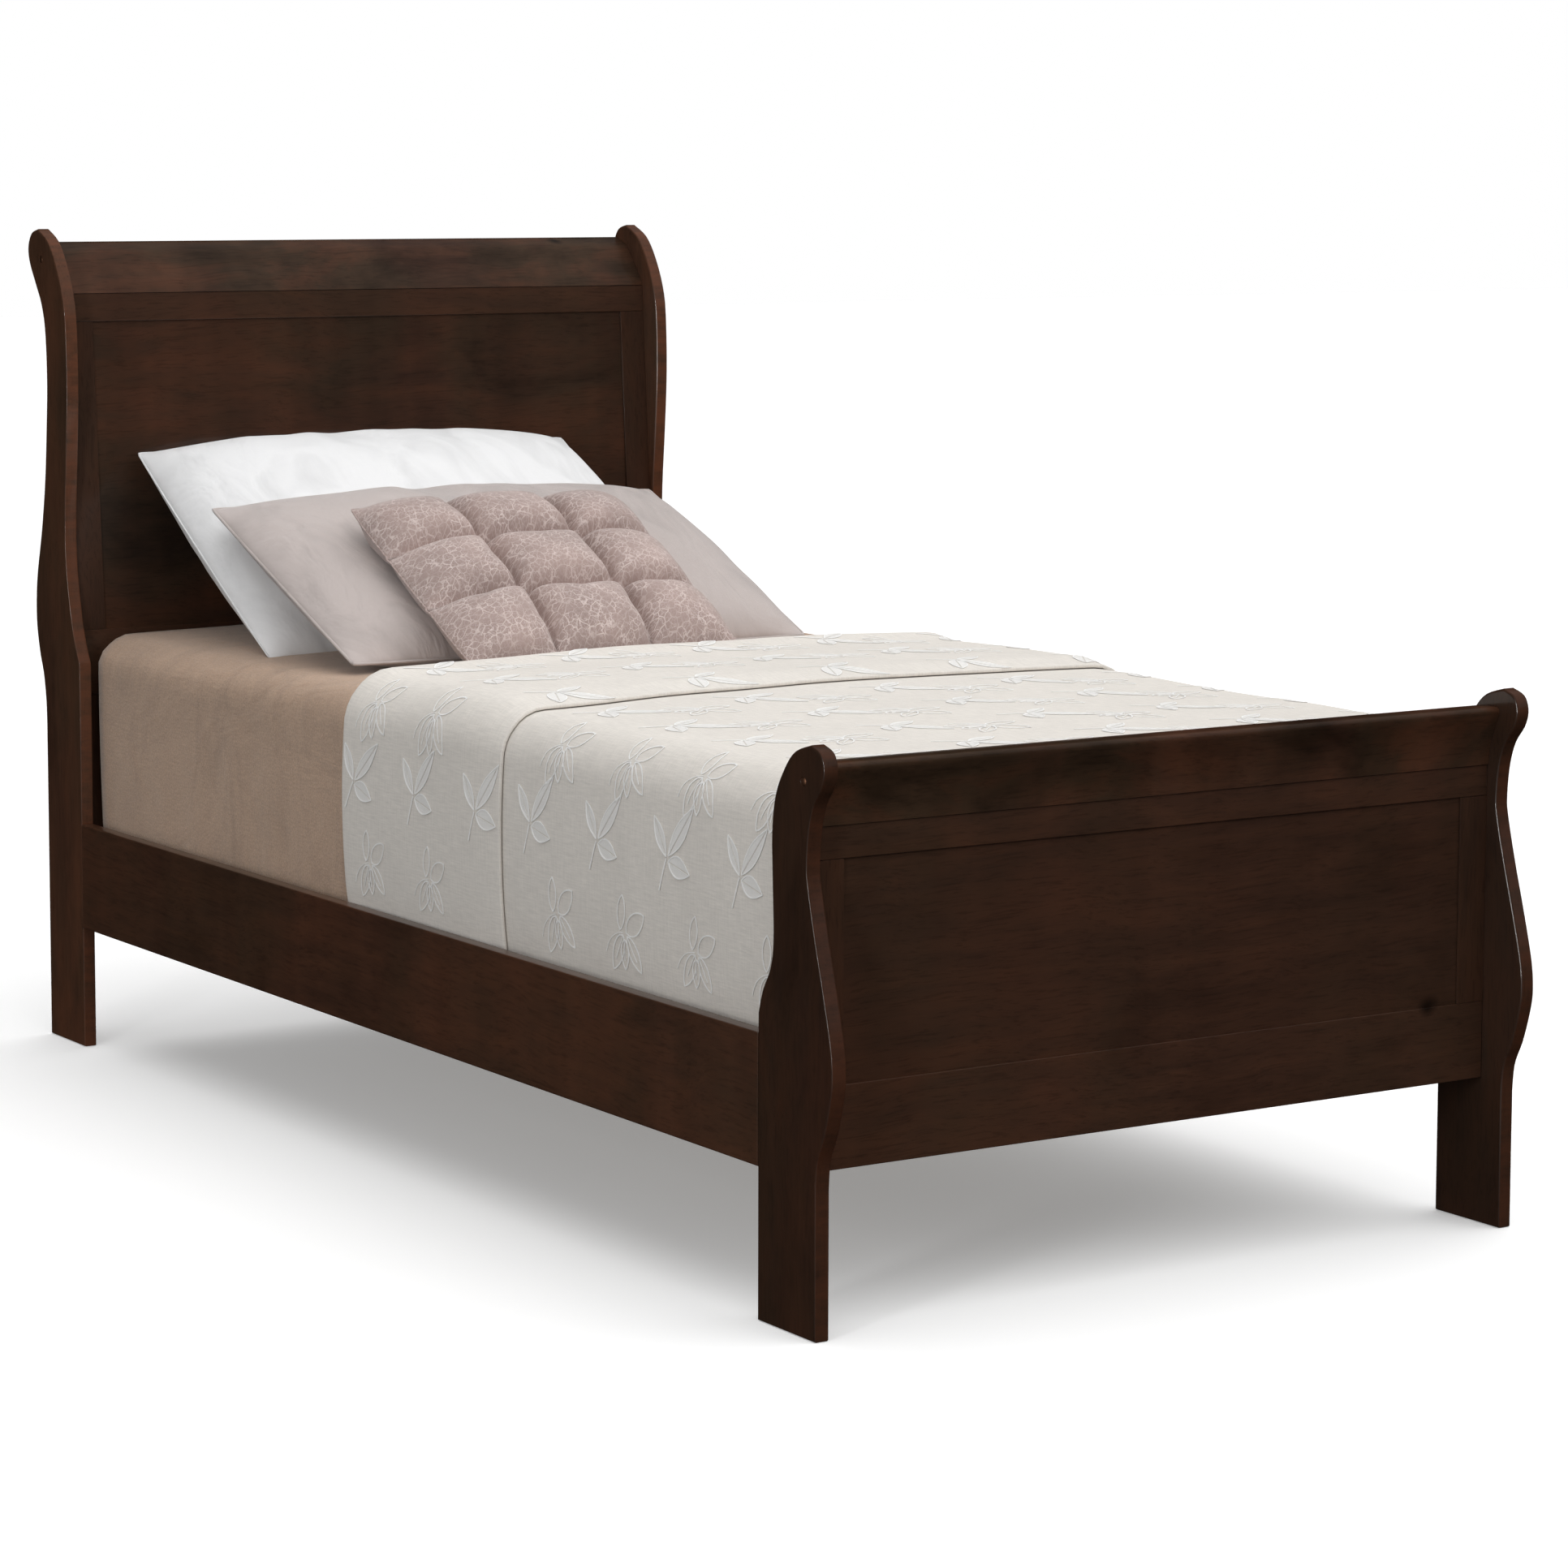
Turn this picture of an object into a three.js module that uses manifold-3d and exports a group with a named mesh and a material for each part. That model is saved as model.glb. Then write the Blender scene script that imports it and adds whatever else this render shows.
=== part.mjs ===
// Single sleigh bed, dressed: scrolled head and foot ends, side rails on brackets, slats, bedding.
// Millimetres. +X across the bed, +Y towards the head, +Z up, origin on the floor under the middle.

import * as THREE from 'three';
import { mergeVertices } from 'three/addons/utils/BufferGeometryUtils.js';
import Module from 'manifold-3d';

const wasm = await Module();
wasm.setup();

// ---------- Driving dimensions ----------
const BED_WIDTH = 1080;
const RAIL_LENGTH = 1944; // between the legs of the two ends
const BOARD = 20.5; // thickness of posts and side rails
const FIT = 0.3; // gap between two pieces that touch
const EDGE = 2.5; // rounding of exposed wooden edges

const RAIL_BOTTOM = 186;
const RAIL_TOP = 348.5;

const FRAME_BOTTOM = 192; // lower edge of both framed ends
const FRAME_DEPTH = 22;
const STILE_WIDTH = 44;
const PANEL_DEPTH = 10;
const PANEL_RECESS = 3;
const GROOVE = 9; // depth of the grooves that hold the panels and stiles
const TONGUE = 8; // how far a panel or stile enters its groove

const SLAT_COUNT = 12;
const SLAT = { width: 72, depth: 18, length: 1028, margin: 60 };
const CLEAT = { width: 22, bottom: 275, top: 309, notch: 6 };

const MATTRESS = { width: 990, length: 2000, bottom: 321.6, top: 636, shift: -12, round: 35 };
const SHEET_DEPTH = 1.9;
const COVERLET = { layer: 11.5, fold: 18.5, topLayer: 14, topFold: 30, hem: 324, head: 125, turn: -310 };

const HALF = BED_WIDTH / 2;
const INNER = HALF - BOARD; // inner face of the posts and rails
const LEG = RAIL_LENGTH / 2; // where the legs start, fore and aft

// Screws as radius and depth of the head, then radius and length of the shank.
const CREST_SCREW = { head: 5.5, headDepth: 2.5, shank: 3, length: 48, sunk: 0.2 };
const BRACKET_SCREW = { head: 6, headDepth: 3, shank: 2.8, length: 17 };

// Each end is drawn looking at its side: [outwards from the rail, up].
// The lower edge of a crest follows the top of the rail below it, which may lean.
const FOOT = {
  name: 'foot',
  legDepth: 125,
  outer: [[125, 180], [129, 215], [144, 249], [157, 293], [160, 320], [156, 356], [140, 416], [122, 477],
    [107, 535], [104, 560], [108, 601], [118, 632], [135, 655], [141, 676], [133, 695], [112, 703]],
  inner: [[112, 703], [76, 691], [51, 664], [35, 633], [28.5, 590], [30, 532], [32, 465], [26, 430],
    [9, 400], [0, 372]],
  crest: {
    back: [[62, 602.3], [60, 625], [57, 650], [59, 672], [66, 677]],
    top: [[66, 677], [87, 678.5], [102, 678], [107, 673], [104, 663]],
    front: [[104, 663], [97, 647], [92, 631], [89, 616], [88, 602.3]],
  },
  screw: [97, 659],
  frameFace: 64, // inner face of the framed panel
  lean: 0,
  panelFace: FRAME_DEPTH - PANEL_RECESS - PANEL_DEPTH,
  rails: [['bottom_rail', 192, 293], ['top_rail', 562, 602]],
  panels: [['', 293, 562]],
};
const HEAD = {
  name: 'head',
  legDepth: 128,
  outer: [[128, 490], [130, 529], [138, 570], [152, 606], [162, 655], [158, 718], [137, 796], [122, 873],
    [114, 950], [109, 1026], [113, 1102], [125, 1145], [146, 1177], [168, 1210], [173, 1235], [160, 1256],
    [136, 1263]],
  inner: [[136, 1263], [96, 1243], [64, 1202], [41, 1149], [34, 1090], [33, 1010], [39, 919], [47, 820],
    [45, 745], [28, 662], [12, 620], [0, 598]],
  crest: {
    back: [[106, 1162.5], [114, 1185], [132, 1201], [154, 1213], [167, 1226]],
    top: [[167, 1226], [171, 1234], [168, 1242], [157, 1241]],
    front: [[157, 1241], [130, 1228], [109, 1204], [89, 1180], [79, 1164.4]],
  },
  screw: [123, 1216],
  frameFace: 12.7,
  lean: THREE.MathUtils.degToRad(3.95),
  panelFace: PANEL_RECESS,
  rails: [['bottom_rail', 192, 292], ['middle_rail', 545, 645], ['top_rail', 1121, 1164]],
  panels: [['lower_', 292, 545], ['', 645, 1121]],
};

// ---------- Materials ----------
function finish(color, roughness, metalness = 0) {
  return new THREE.MeshStandardMaterial({ color, roughness, metalness });
}
const stainedWood = finish(0x3a2016, 0.35);
const slatWood = finish(0xc9a877, 0.7);
const steel = finish(0x8d8f92, 0.4, 0.9);
const bronzeScrew = finish(0x6b4a34, 0.45, 0.7);
const ticking = finish(0xe9e6df, 0.9);
const tanSheet = finish(0xb39c82, 0.9);
const ivoryCover = finish(0xcfccc5, 0.9);
const whiteCotton = finish(0xf2f2f0, 0.9);
const taupeSatin = finish(0xa3968f, 0.5);
const mauveCushion = finish(0x9a857c, 0.8);

// ---------- Geometry helpers ----------
const X = new THREE.Vector3(1, 0, 0);
const Y = new THREE.Vector3(0, 1, 0);
const Z = new THREE.Vector3(0, 0, 1);
const UP_FROM_SIDE = new THREE.Matrix4().makeBasis(Y, Z, X); // drawn [outwards, up], extruded across
const UP_FROM_END = new THREE.Matrix4().makeBasis(X, Z, Y.clone().negate()); // drawn [across, up]

function extrude(shape, depth, basis, curveSegments = 3, bevel = 0) {
  const geometry = new THREE.ExtrudeGeometry(shape, {
    depth: depth - 2 * bevel,
    curveSegments,
    bevelEnabled: bevel > 0,
    bevelSize: bevel,
    bevelThickness: bevel,
    bevelOffset: -bevel,
    bevelSegments: 2,
  });
  geometry.translate(0, 0, bevel - depth / 2);
  return geometry.applyMatrix4(basis);
}

function box(x, y, z) {
  const geometry = new THREE.BoxGeometry(x[1] - x[0], y[1] - y[0], z[1] - z[0]);
  return geometry.translate((x[0] + x[1]) / 2, (y[0] + y[1]) / 2, (z[0] + z[1]) / 2);
}

function solid(geometry) {
  const bare = geometry.clone();
  bare.deleteAttribute('normal');
  bare.deleteAttribute('uv');
  const merged = mergeVertices(bare, 1e-3);
  const vertProperties = new Float32Array(merged.attributes.position.array);
  const triVerts = new Uint32Array(merged.index.array);
  return new wasm.Manifold(new wasm.Mesh({ numProp: 3, vertProperties, triVerts }));
}

function geometryOf(body) {
  const mesh = body.getMesh();
  const geometry = new THREE.BufferGeometry();
  geometry.setAttribute('position', new THREE.BufferAttribute(new Float32Array(mesh.vertProperties), 3));
  geometry.setIndex(new THREE.BufferAttribute(new Uint32Array(mesh.triVerts), 1));
  geometry.computeVertexNormals();
  return geometry;
}

function join(...geometries) {
  return geometryOf(geometries.map(solid).reduce((sum, part) => sum.add(part)));
}

function cut(geometry, ...tools) {
  return geometryOf(tools.map(solid).reduce((rest, tool) => rest.subtract(tool), solid(geometry)));
}

function piece(name, geometry, material, parent) {
  const mesh = new THREE.Mesh(geometry, material);
  mesh.name = name;
  parent.add(mesh);
  return mesh;
}

// A board with rounded long edges, running along Z, centred on its section.
function boardSection(width, depth, radius) {
  const shape = new THREE.Shape();
  const a = width / 2;
  const b = depth / 2;
  shape.moveTo(-a + radius, -b);
  shape.lineTo(a - radius, -b);
  shape.quadraticCurveTo(a, -b, a, -b + radius);
  shape.lineTo(a, b - radius);
  shape.quadraticCurveTo(a, b, a - radius, b);
  shape.lineTo(-a + radius, b);
  shape.quadraticCurveTo(-a, b, -a, b - radius);
  shape.lineTo(-a, -b + radius);
  shape.quadraticCurveTo(-a, -b, -a + radius, -b);
  return shape;
}

function splineTo(shape, points) {
  shape.splineThru(points.slice(1).map(([u, v]) => new THREE.Vector2(u, v)));
}

// ---------- Screws ----------
// Head at the origin, shank along +Y. The pocket is the hole that the screw needs in the wood.
function screwShape({ head, headDepth, shank, length }, grow = 0) {
  const profile = [
    [0, -headDepth - grow],
    [head + grow, -headDepth - grow],
    [head + grow, 0],
    [shank + grow, 0],
    [shank + grow, length + grow],
    [0, length + grow],
  ];
  return new THREE.LatheGeometry(profile.map(([r, y]) => new THREE.Vector2(r, y)), 12);
}

function screw(name, size, material, parent, place) {
  const mesh = piece(name, screwShape(size), material, parent);
  mesh.userData.pocket = screwShape(size, FIT);
  place(mesh);
  return mesh;
}

// Cut the pocket of a screw from a piece anywhere else in the scene.
function drill(target, screwMesh) {
  const toTarget = target.matrixWorld.clone().invert().multiply(screwMesh.matrixWorld);
  const pocket = screwMesh.userData.pocket.clone().applyMatrix4(toTarget);
  target.geometry = cut(target.geometry, pocket);
}

// ---------- Head and foot ends ----------
function postGeometry(end) {
  const shape = new THREE.Shape();
  shape.moveTo(0, 0);
  shape.lineTo(end.legDepth, 0);
  shape.lineTo(...end.outer[0]);
  splineTo(shape, end.outer);
  splineTo(shape, end.inner);
  shape.lineTo(0, 0);
  return extrude(shape, BOARD, UP_FROM_SIDE, 4, EDGE);
}

function crestGeometry(end) {
  const { back, top, front } = end.crest;
  const shape = new THREE.Shape();
  shape.moveTo(...back[0]);
  splineTo(shape, back);
  splineTo(shape, top);
  splineTo(shape, front);
  shape.lineTo(...back[0]);
  return extrude(shape, 2 * (INNER - FIT), UP_FROM_SIDE, 4);
}

// A rail runs from post to post, with a groove along each edge that meets a panel.
function railGeometry(end, low, high, grooveLow, grooveHigh) {
  const grooveY = [end.panelFace - FIT, end.panelFace + PANEL_DEPTH + FIT];
  const body = box([FIT - INNER, INNER - FIT], [0, FRAME_DEPTH], [low, high]);
  const grooves = [];
  if (grooveLow) grooves.push(box([-INNER, INNER], grooveY, [low - 1, low + GROOVE]));
  if (grooveHigh) grooves.push(box([-INNER, INNER], grooveY, [high - GROOVE, high + 1]));
  return cut(body, ...grooves);
}

// A stile stands between two rails, with a tongue in each and a groove for the panel.
function stileGeometry(end, side, low, high) {
  const across = [side * (INNER - FIT), side * (INNER - STILE_WIDTH)].sort((a, b) => a - b);
  const panelY = [end.panelFace, end.panelFace + PANEL_DEPTH];
  const body = box(across, [0, FRAME_DEPTH], [low + FIT, high - FIT]);
  const tongue = box(across, panelY, [low - TONGUE, high + TONGUE]);
  const innerX = side * (INNER - STILE_WIDTH);
  const grooveX = [innerX - side, innerX + side * GROOVE].sort((a, b) => a - b);
  const grooveY = [panelY[0] - FIT, panelY[1] + FIT];
  return cut(join(body, tongue), box(grooveX, grooveY, [low - GROOVE, high + GROOVE]));
}

function buildEnd(end, bed, facing) {
  const parts = {};
  const group = new THREE.Group();
  group.position.y = facing * LEG;
  group.rotation.z = facing > 0 ? 0 : Math.PI;
  bed.add(group);

  const frame = new THREE.Group();
  frame.position.set(0, end.frameFace, FRAME_BOTTOM);
  frame.rotation.x = -end.lean;
  group.add(frame);

  for (const [sideName, worldSide] of [['left', -1], ['right', 1]]) {
    const side = worldSide * facing;
    const post = piece(`${end.name}_post_${sideName}`, postGeometry(end), stainedWood, group);
    post.position.x = side * (HALF - BOARD / 2);
    parts[`post_${sideName}`] = post;
    const screwX = side * (HALF - CREST_SCREW.headDepth - CREST_SCREW.sunk);
    parts[`screw_${sideName}`] = screw(`${end.name}_crest_screw_${sideName}`, CREST_SCREW,
      bronzeScrew, group, (mesh) => {
        mesh.position.set(screwX, end.screw[0], end.screw[1]);
        mesh.rotation.z = side * Math.PI / 2;
      });
  }
  parts.crest = piece(`${end.name}_crest_rail`, crestGeometry(end), stainedWood, group);

  const alongLean = (z) => (z - FRAME_BOTTOM) / Math.cos(end.lean);
  const lastRail = end.rails.length - 1;
  end.rails.forEach(([name, low, high], i) => {
    const geometry = railGeometry(end, alongLean(low), alongLean(high), i > 0, i < lastRail);
    parts[name] = piece(`${end.name}_${name}`, geometry, stainedWood, frame);
  });
  const panelHalf = INNER - STILE_WIDTH + TONGUE;
  const panelY = [end.panelFace, end.panelFace + PANEL_DEPTH];
  for (const [prefix, bottom, top] of end.panels) {
    const low = alongLean(bottom);
    const high = alongLean(top);
    const panel = box([-panelHalf, panelHalf], panelY, [low - TONGUE, high + TONGUE]);
    piece(`${end.name}_${prefix}panel`, panel, stainedWood, frame);
    for (const [sideName, worldSide] of [['left', -1], ['right', 1]]) {
      const stile = stileGeometry(end, worldSide * facing, low, high);
      piece(`${end.name}_${prefix}stile_${sideName}`, stile, stainedWood, frame);
    }
  }
  return { group, frame, parts };
}

// ---------- Side rails, cleats and slats ----------
const SLAT_PITCH = (RAIL_LENGTH - 2 * SLAT.margin - SLAT.width) / (SLAT_COUNT - 1);
const slatY = (i) => (i - (SLAT_COUNT - 1) / 2) * SLAT_PITCH;

function buildSideRail(sideName, side, bed) {
  const section = boardSection(BOARD, RAIL_TOP - RAIL_BOTTOM, EDGE);
  const rail = piece(`side_rail_${sideName}`, extrude(section, RAIL_LENGTH - 2 * FIT, UP_FROM_END, 2),
    stainedWood, bed);
  rail.position.set(side * (HALF - BOARD / 2), 0, (RAIL_TOP + RAIL_BOTTOM) / 2);

  const end = LEG - 6;
  const outline = new THREE.Shape();
  outline.moveTo(-end, CLEAT.bottom);
  outline.lineTo(end, CLEAT.bottom);
  outline.lineTo(end, CLEAT.top);
  for (let i = SLAT_COUNT - 1; i >= 0; i--) {
    const half = SLAT.width / 2 + 1;
    outline.lineTo(slatY(i) + half, CLEAT.top);
    outline.lineTo(slatY(i) + half, CLEAT.top - CLEAT.notch);
    outline.lineTo(slatY(i) - half, CLEAT.top - CLEAT.notch);
    outline.lineTo(slatY(i) - half, CLEAT.top);
  }
  outline.lineTo(-end, CLEAT.top);
  const cleat = piece(`slat_cleat_${sideName}`, extrude(outline, CLEAT.width, UP_FROM_SIDE), slatWood, bed);
  cleat.position.x = side * (INNER - FIT - CLEAT.width / 2);
  return rail;
}

function buildSlats(bed) {
  const section = boardSection(SLAT.width, SLAT.depth, 2);
  for (let i = 0; i < SLAT_COUNT; i++) {
    const number = String(i + 1).padStart(2, '0');
    const slat = piece(`slat_${number}`, extrude(section, SLAT.length, UP_FROM_SIDE, 1), slatWood, bed);
    slat.position.set(0, slatY(i), CLEAT.top - CLEAT.notch + FIT + SLAT.depth / 2);
  }
}

// ---------- Corner brackets ----------
// One wing lies on the side rail, the other on the end's bottom rail, which may lean.
const BRACKET = { height: 62, bottom: 204, sideWing: 66, endWing: 40, gauge: 3, endScrew: 27 };

function buildBracket(end, built, sideName, side, rail, bed, facing) {
  const { height, bottom, sideWing, endWing, gauge, endScrew } = BRACKET;
  const local = side * facing;
  const name = `${end.name}_bracket_${sideName}`;
  const wallX = local * (INNER - FIT);
  const frontX = [wallX, wallX - local * gauge].sort((a, b) => a - b);
  const wingX = [wallX, wallX - local * endWing].sort((a, b) => a - b);
  const face = (z) => end.frameFace + (z - FRAME_BOTTOM) * Math.tan(end.lean);
  const outline = new THREE.Shape();
  outline.moveTo(-sideWing, bottom);
  outline.lineTo(face(bottom) - FIT - gauge / 2, bottom);
  outline.lineTo(face(bottom + height) - FIT - gauge / 2, bottom + height);
  outline.lineTo(-sideWing, bottom + height);
  outline.lineTo(-sideWing, bottom);
  const sidePlate = extrude(outline, gauge, UP_FROM_SIDE);
  sidePlate.translate((frontX[0] + frontX[1]) / 2, 0, 0);

  const endPlate = box(wingX, [-gauge - FIT, -FIT], [bottom - FRAME_BOTTOM, bottom - FRAME_BOTTOM + height]);
  endPlate.applyMatrix4(new THREE.Matrix4().makeRotationX(-end.lean));
  endPlate.translate(0, end.frameFace, FRAME_BOTTOM);
  const trim = box([-HALF, HALF], [-2 * sideWing, 4 * sideWing], [bottom, bottom + height]);
  const plates = geometryOf(solid(join(sidePlate, endPlate)).intersect(solid(trim)));
  const bracket = piece(name, plates, steel, built.group);

  const middle = bottom + height / 2;
  const intoSide = screw(`${name}_side_screw`, BRACKET_SCREW, steel, built.group, (mesh) => {
    mesh.position.set(wallX - local * (gauge + FIT), -sideWing * 0.6, middle);
    mesh.rotation.z = -local * Math.PI / 2;
  });
  const intoEnd = screw(`${name}_end_screw`, BRACKET_SCREW, steel, built.group, (mesh) => {
    mesh.position.set(wallX - local * endScrew, face(middle) - gauge - 2 * FIT, middle);
    mesh.rotation.x = -end.lean;
  });
  bed.updateMatrixWorld(true);
  drill(bracket, intoSide);
  drill(bracket, intoEnd);
  drill(rail, intoSide);
  drill(built.parts.bottom_rail, intoEnd);
}

// ---------- Mattress and bedclothes ----------
// Section across the bed with rounded upper edges.
function beddingSection(half, bottom, top, round) {
  const shape = new THREE.Shape();
  shape.moveTo(-half, bottom);
  shape.lineTo(half, bottom);
  shape.lineTo(half, top - round);
  shape.absarc(half - round, top - round, round, 0, Math.PI / 2);
  shape.lineTo(-half + round, top);
  shape.absarc(-half + round, top - round, round, Math.PI / 2, Math.PI);
  shape.lineTo(-half, bottom);
  return shape;
}

function bedding(half, bottom, top, round, from, to) {
  const geometry = extrude(beddingSection(half, bottom, top, round), to - from, UP_FROM_END, 5);
  return geometry.translate(0, (from + to) / 2, 0);
}

function buildBedding(bed) {
  const { width, length, bottom, top, shift, round } = MATTRESS;
  const half = width / 2;
  const foot = shift - length / 2;
  const head = shift + length / 2;
  piece('mattress', bedding(half, bottom, top, round, foot, head), ticking, bed);

  const grow = FIT + SHEET_DEPTH;
  const sheetOuter = bedding(half + grow, bottom + 2, top + grow, round + grow, foot - grow, head + grow);
  const sheetHollow = bedding(half + FIT, bottom - 9, top + FIT, round + FIT, foot - FIT, head + FIT);
  piece('fitted_sheet', cut(sheetOuter, sheetHollow), tanSheet, bed);

  const lining = grow + FIT;
  const { layer, fold, topLayer, topFold, hem, head: edge, turn } = COVERLET;
  const cover = bedding(half + lining + layer, hem, top + lining + topLayer, round + lining + layer,
    foot - lining - layer, edge);
  const turned = bedding(half + lining + fold, hem, top + lining + topFold, round + lining + fold,
    turn, edge);
  const hollow = bedding(half + lining, hem - 9, top + lining, round + lining, foot - lining, edge + 9);
  piece('coverlet', cut(join(cover, turned), hollow), ivoryCover, bed);
}

// A crowned cushion lying in its own XY plane: square outline with rounded corners, thin at the seam.
function cushionGeometry(width, height, depth) {
  const corner = 0.42;
  const fullness = 0.7;
  const power = (value, exponent) => Math.sign(value) * Math.abs(value) ** exponent;
  const geometry = new THREE.SphereGeometry(1, 32, 12);
  geometry.rotateX(Math.PI / 2);
  const position = geometry.attributes.position;
  for (let i = 0; i < position.count; i++) {
    const x = position.getX(i);
    const y = position.getY(i);
    const across = Math.hypot(x, y);
    const reach = across ** fullness;
    const c = across > 1e-6 ? x / across : 0;
    const s = across > 1e-6 ? y / across : 0;
    position.setXYZ(i, width / 2 * reach * power(c, corner), height / 2 * reach * power(s, corner),
      depth / 2 * position.getZ(i));
  }
  return geometryOf(solid(geometry));
}

// Lower and upper edge of each pillow as [along the bed, up]; each leans on the one behind it.
const PILLOWS = [
  {
    name: 'pillow_white', material: whiteCotton, low: [586, 657], high: [994, 899],
    x: -38, width: 755, depth: 108,
  },
  {
    name: 'pillow_taupe', material: taupeSatin, low: [285, 656], high: [745, 848],
    x: -38, width: 765, depth: 84,
  },
  {
    name: 'cushion_tufted', material: mauveCushion, low: [158, 667], high: [506, 853],
    x: -80, width: 458, depth: 66,
  },
];

function buildPillows(bed) {
  for (const { name, material, low, high, x, width, depth } of PILLOWS) {
    const rise = Math.atan2(high[1] - low[1], high[0] - low[0]);
    const height = Math.hypot(high[0] - low[0], high[1] - low[1]);
    const pillow = piece(name, cushionGeometry(width, height, depth), material, bed);
    pillow.position.set(x, (low[0] + high[0]) / 2, (low[1] + high[1]) / 2);
    pillow.rotation.x = rise;
  }
}

// ---------- Assembly ----------
const bed = new THREE.Group();
const headReach = Math.max(...HEAD.outer.map(([outwards]) => outwards));
const footReach = Math.max(...FOOT.outer.map(([outwards]) => outwards));
bed.position.y = (footReach - headReach) / 2;

const headEnd = buildEnd(HEAD, bed, 1);
const footEnd = buildEnd(FOOT, bed, -1);
for (const [sideName, side] of [['left', -1], ['right', 1]]) {
  const rail = buildSideRail(sideName, side, bed);
  bed.updateMatrixWorld(true);
  for (const [end, built, facing] of [[HEAD, headEnd, 1], [FOOT, footEnd, -1]]) {
    buildBracket(end, built, sideName, side, rail, bed, facing);
    drill(built.parts[`post_${sideName}`], built.parts[`screw_${sideName}`]);
    drill(built.parts.crest, built.parts[`screw_${sideName}`]);
  }
}
buildSlats(bed);
buildBedding(bed);
buildPillows(bed);

export default bed;
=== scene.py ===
"""Looks of the single sleigh bed: wood, bedding, pillows, floor, light and camera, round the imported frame."""
import math
import random

import bpy
import numpy as np
from mathutils import Matrix, Vector, noise
from mathutils.bvhtree import BVHTree


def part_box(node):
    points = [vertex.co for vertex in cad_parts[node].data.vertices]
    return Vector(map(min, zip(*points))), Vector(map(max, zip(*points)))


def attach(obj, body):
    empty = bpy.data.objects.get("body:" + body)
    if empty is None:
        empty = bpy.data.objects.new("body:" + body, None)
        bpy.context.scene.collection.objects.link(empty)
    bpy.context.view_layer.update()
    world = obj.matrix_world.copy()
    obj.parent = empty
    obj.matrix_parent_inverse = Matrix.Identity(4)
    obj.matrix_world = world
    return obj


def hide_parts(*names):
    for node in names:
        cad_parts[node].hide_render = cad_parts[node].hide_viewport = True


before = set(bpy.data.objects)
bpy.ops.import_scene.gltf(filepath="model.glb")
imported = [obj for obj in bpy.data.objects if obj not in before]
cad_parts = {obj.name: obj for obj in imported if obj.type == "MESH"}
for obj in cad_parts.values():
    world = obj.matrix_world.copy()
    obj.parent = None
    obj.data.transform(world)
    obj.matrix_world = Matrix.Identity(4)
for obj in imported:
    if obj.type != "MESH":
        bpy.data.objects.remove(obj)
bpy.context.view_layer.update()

MATTRESS_BODY = "dressed_mattress"
SEED = 7
SAME = 1e-6  # metres within which two places count as one


# ---- shader building
class Nodes:
    """Adds nodes to the tree of a material or a world."""

    def __init__(self, owner):
        owner.use_nodes = True
        self.tree = owner.node_tree

    def node(self, kind, inputs=(), **settings):
        """A new node, with settings; inputs are pairs of a socket and an output or a constant."""
        made = self.tree.nodes.new(kind)
        for key, value in settings.items():
            setattr(made, key, value)
        for socket, value in inputs:
            self.link(value, made.inputs[socket])
        return made

    def link(self, source, target):
        if hasattr(source, "links"):
            self.tree.links.new(source, target)
        else:
            target.default_value = source


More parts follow.
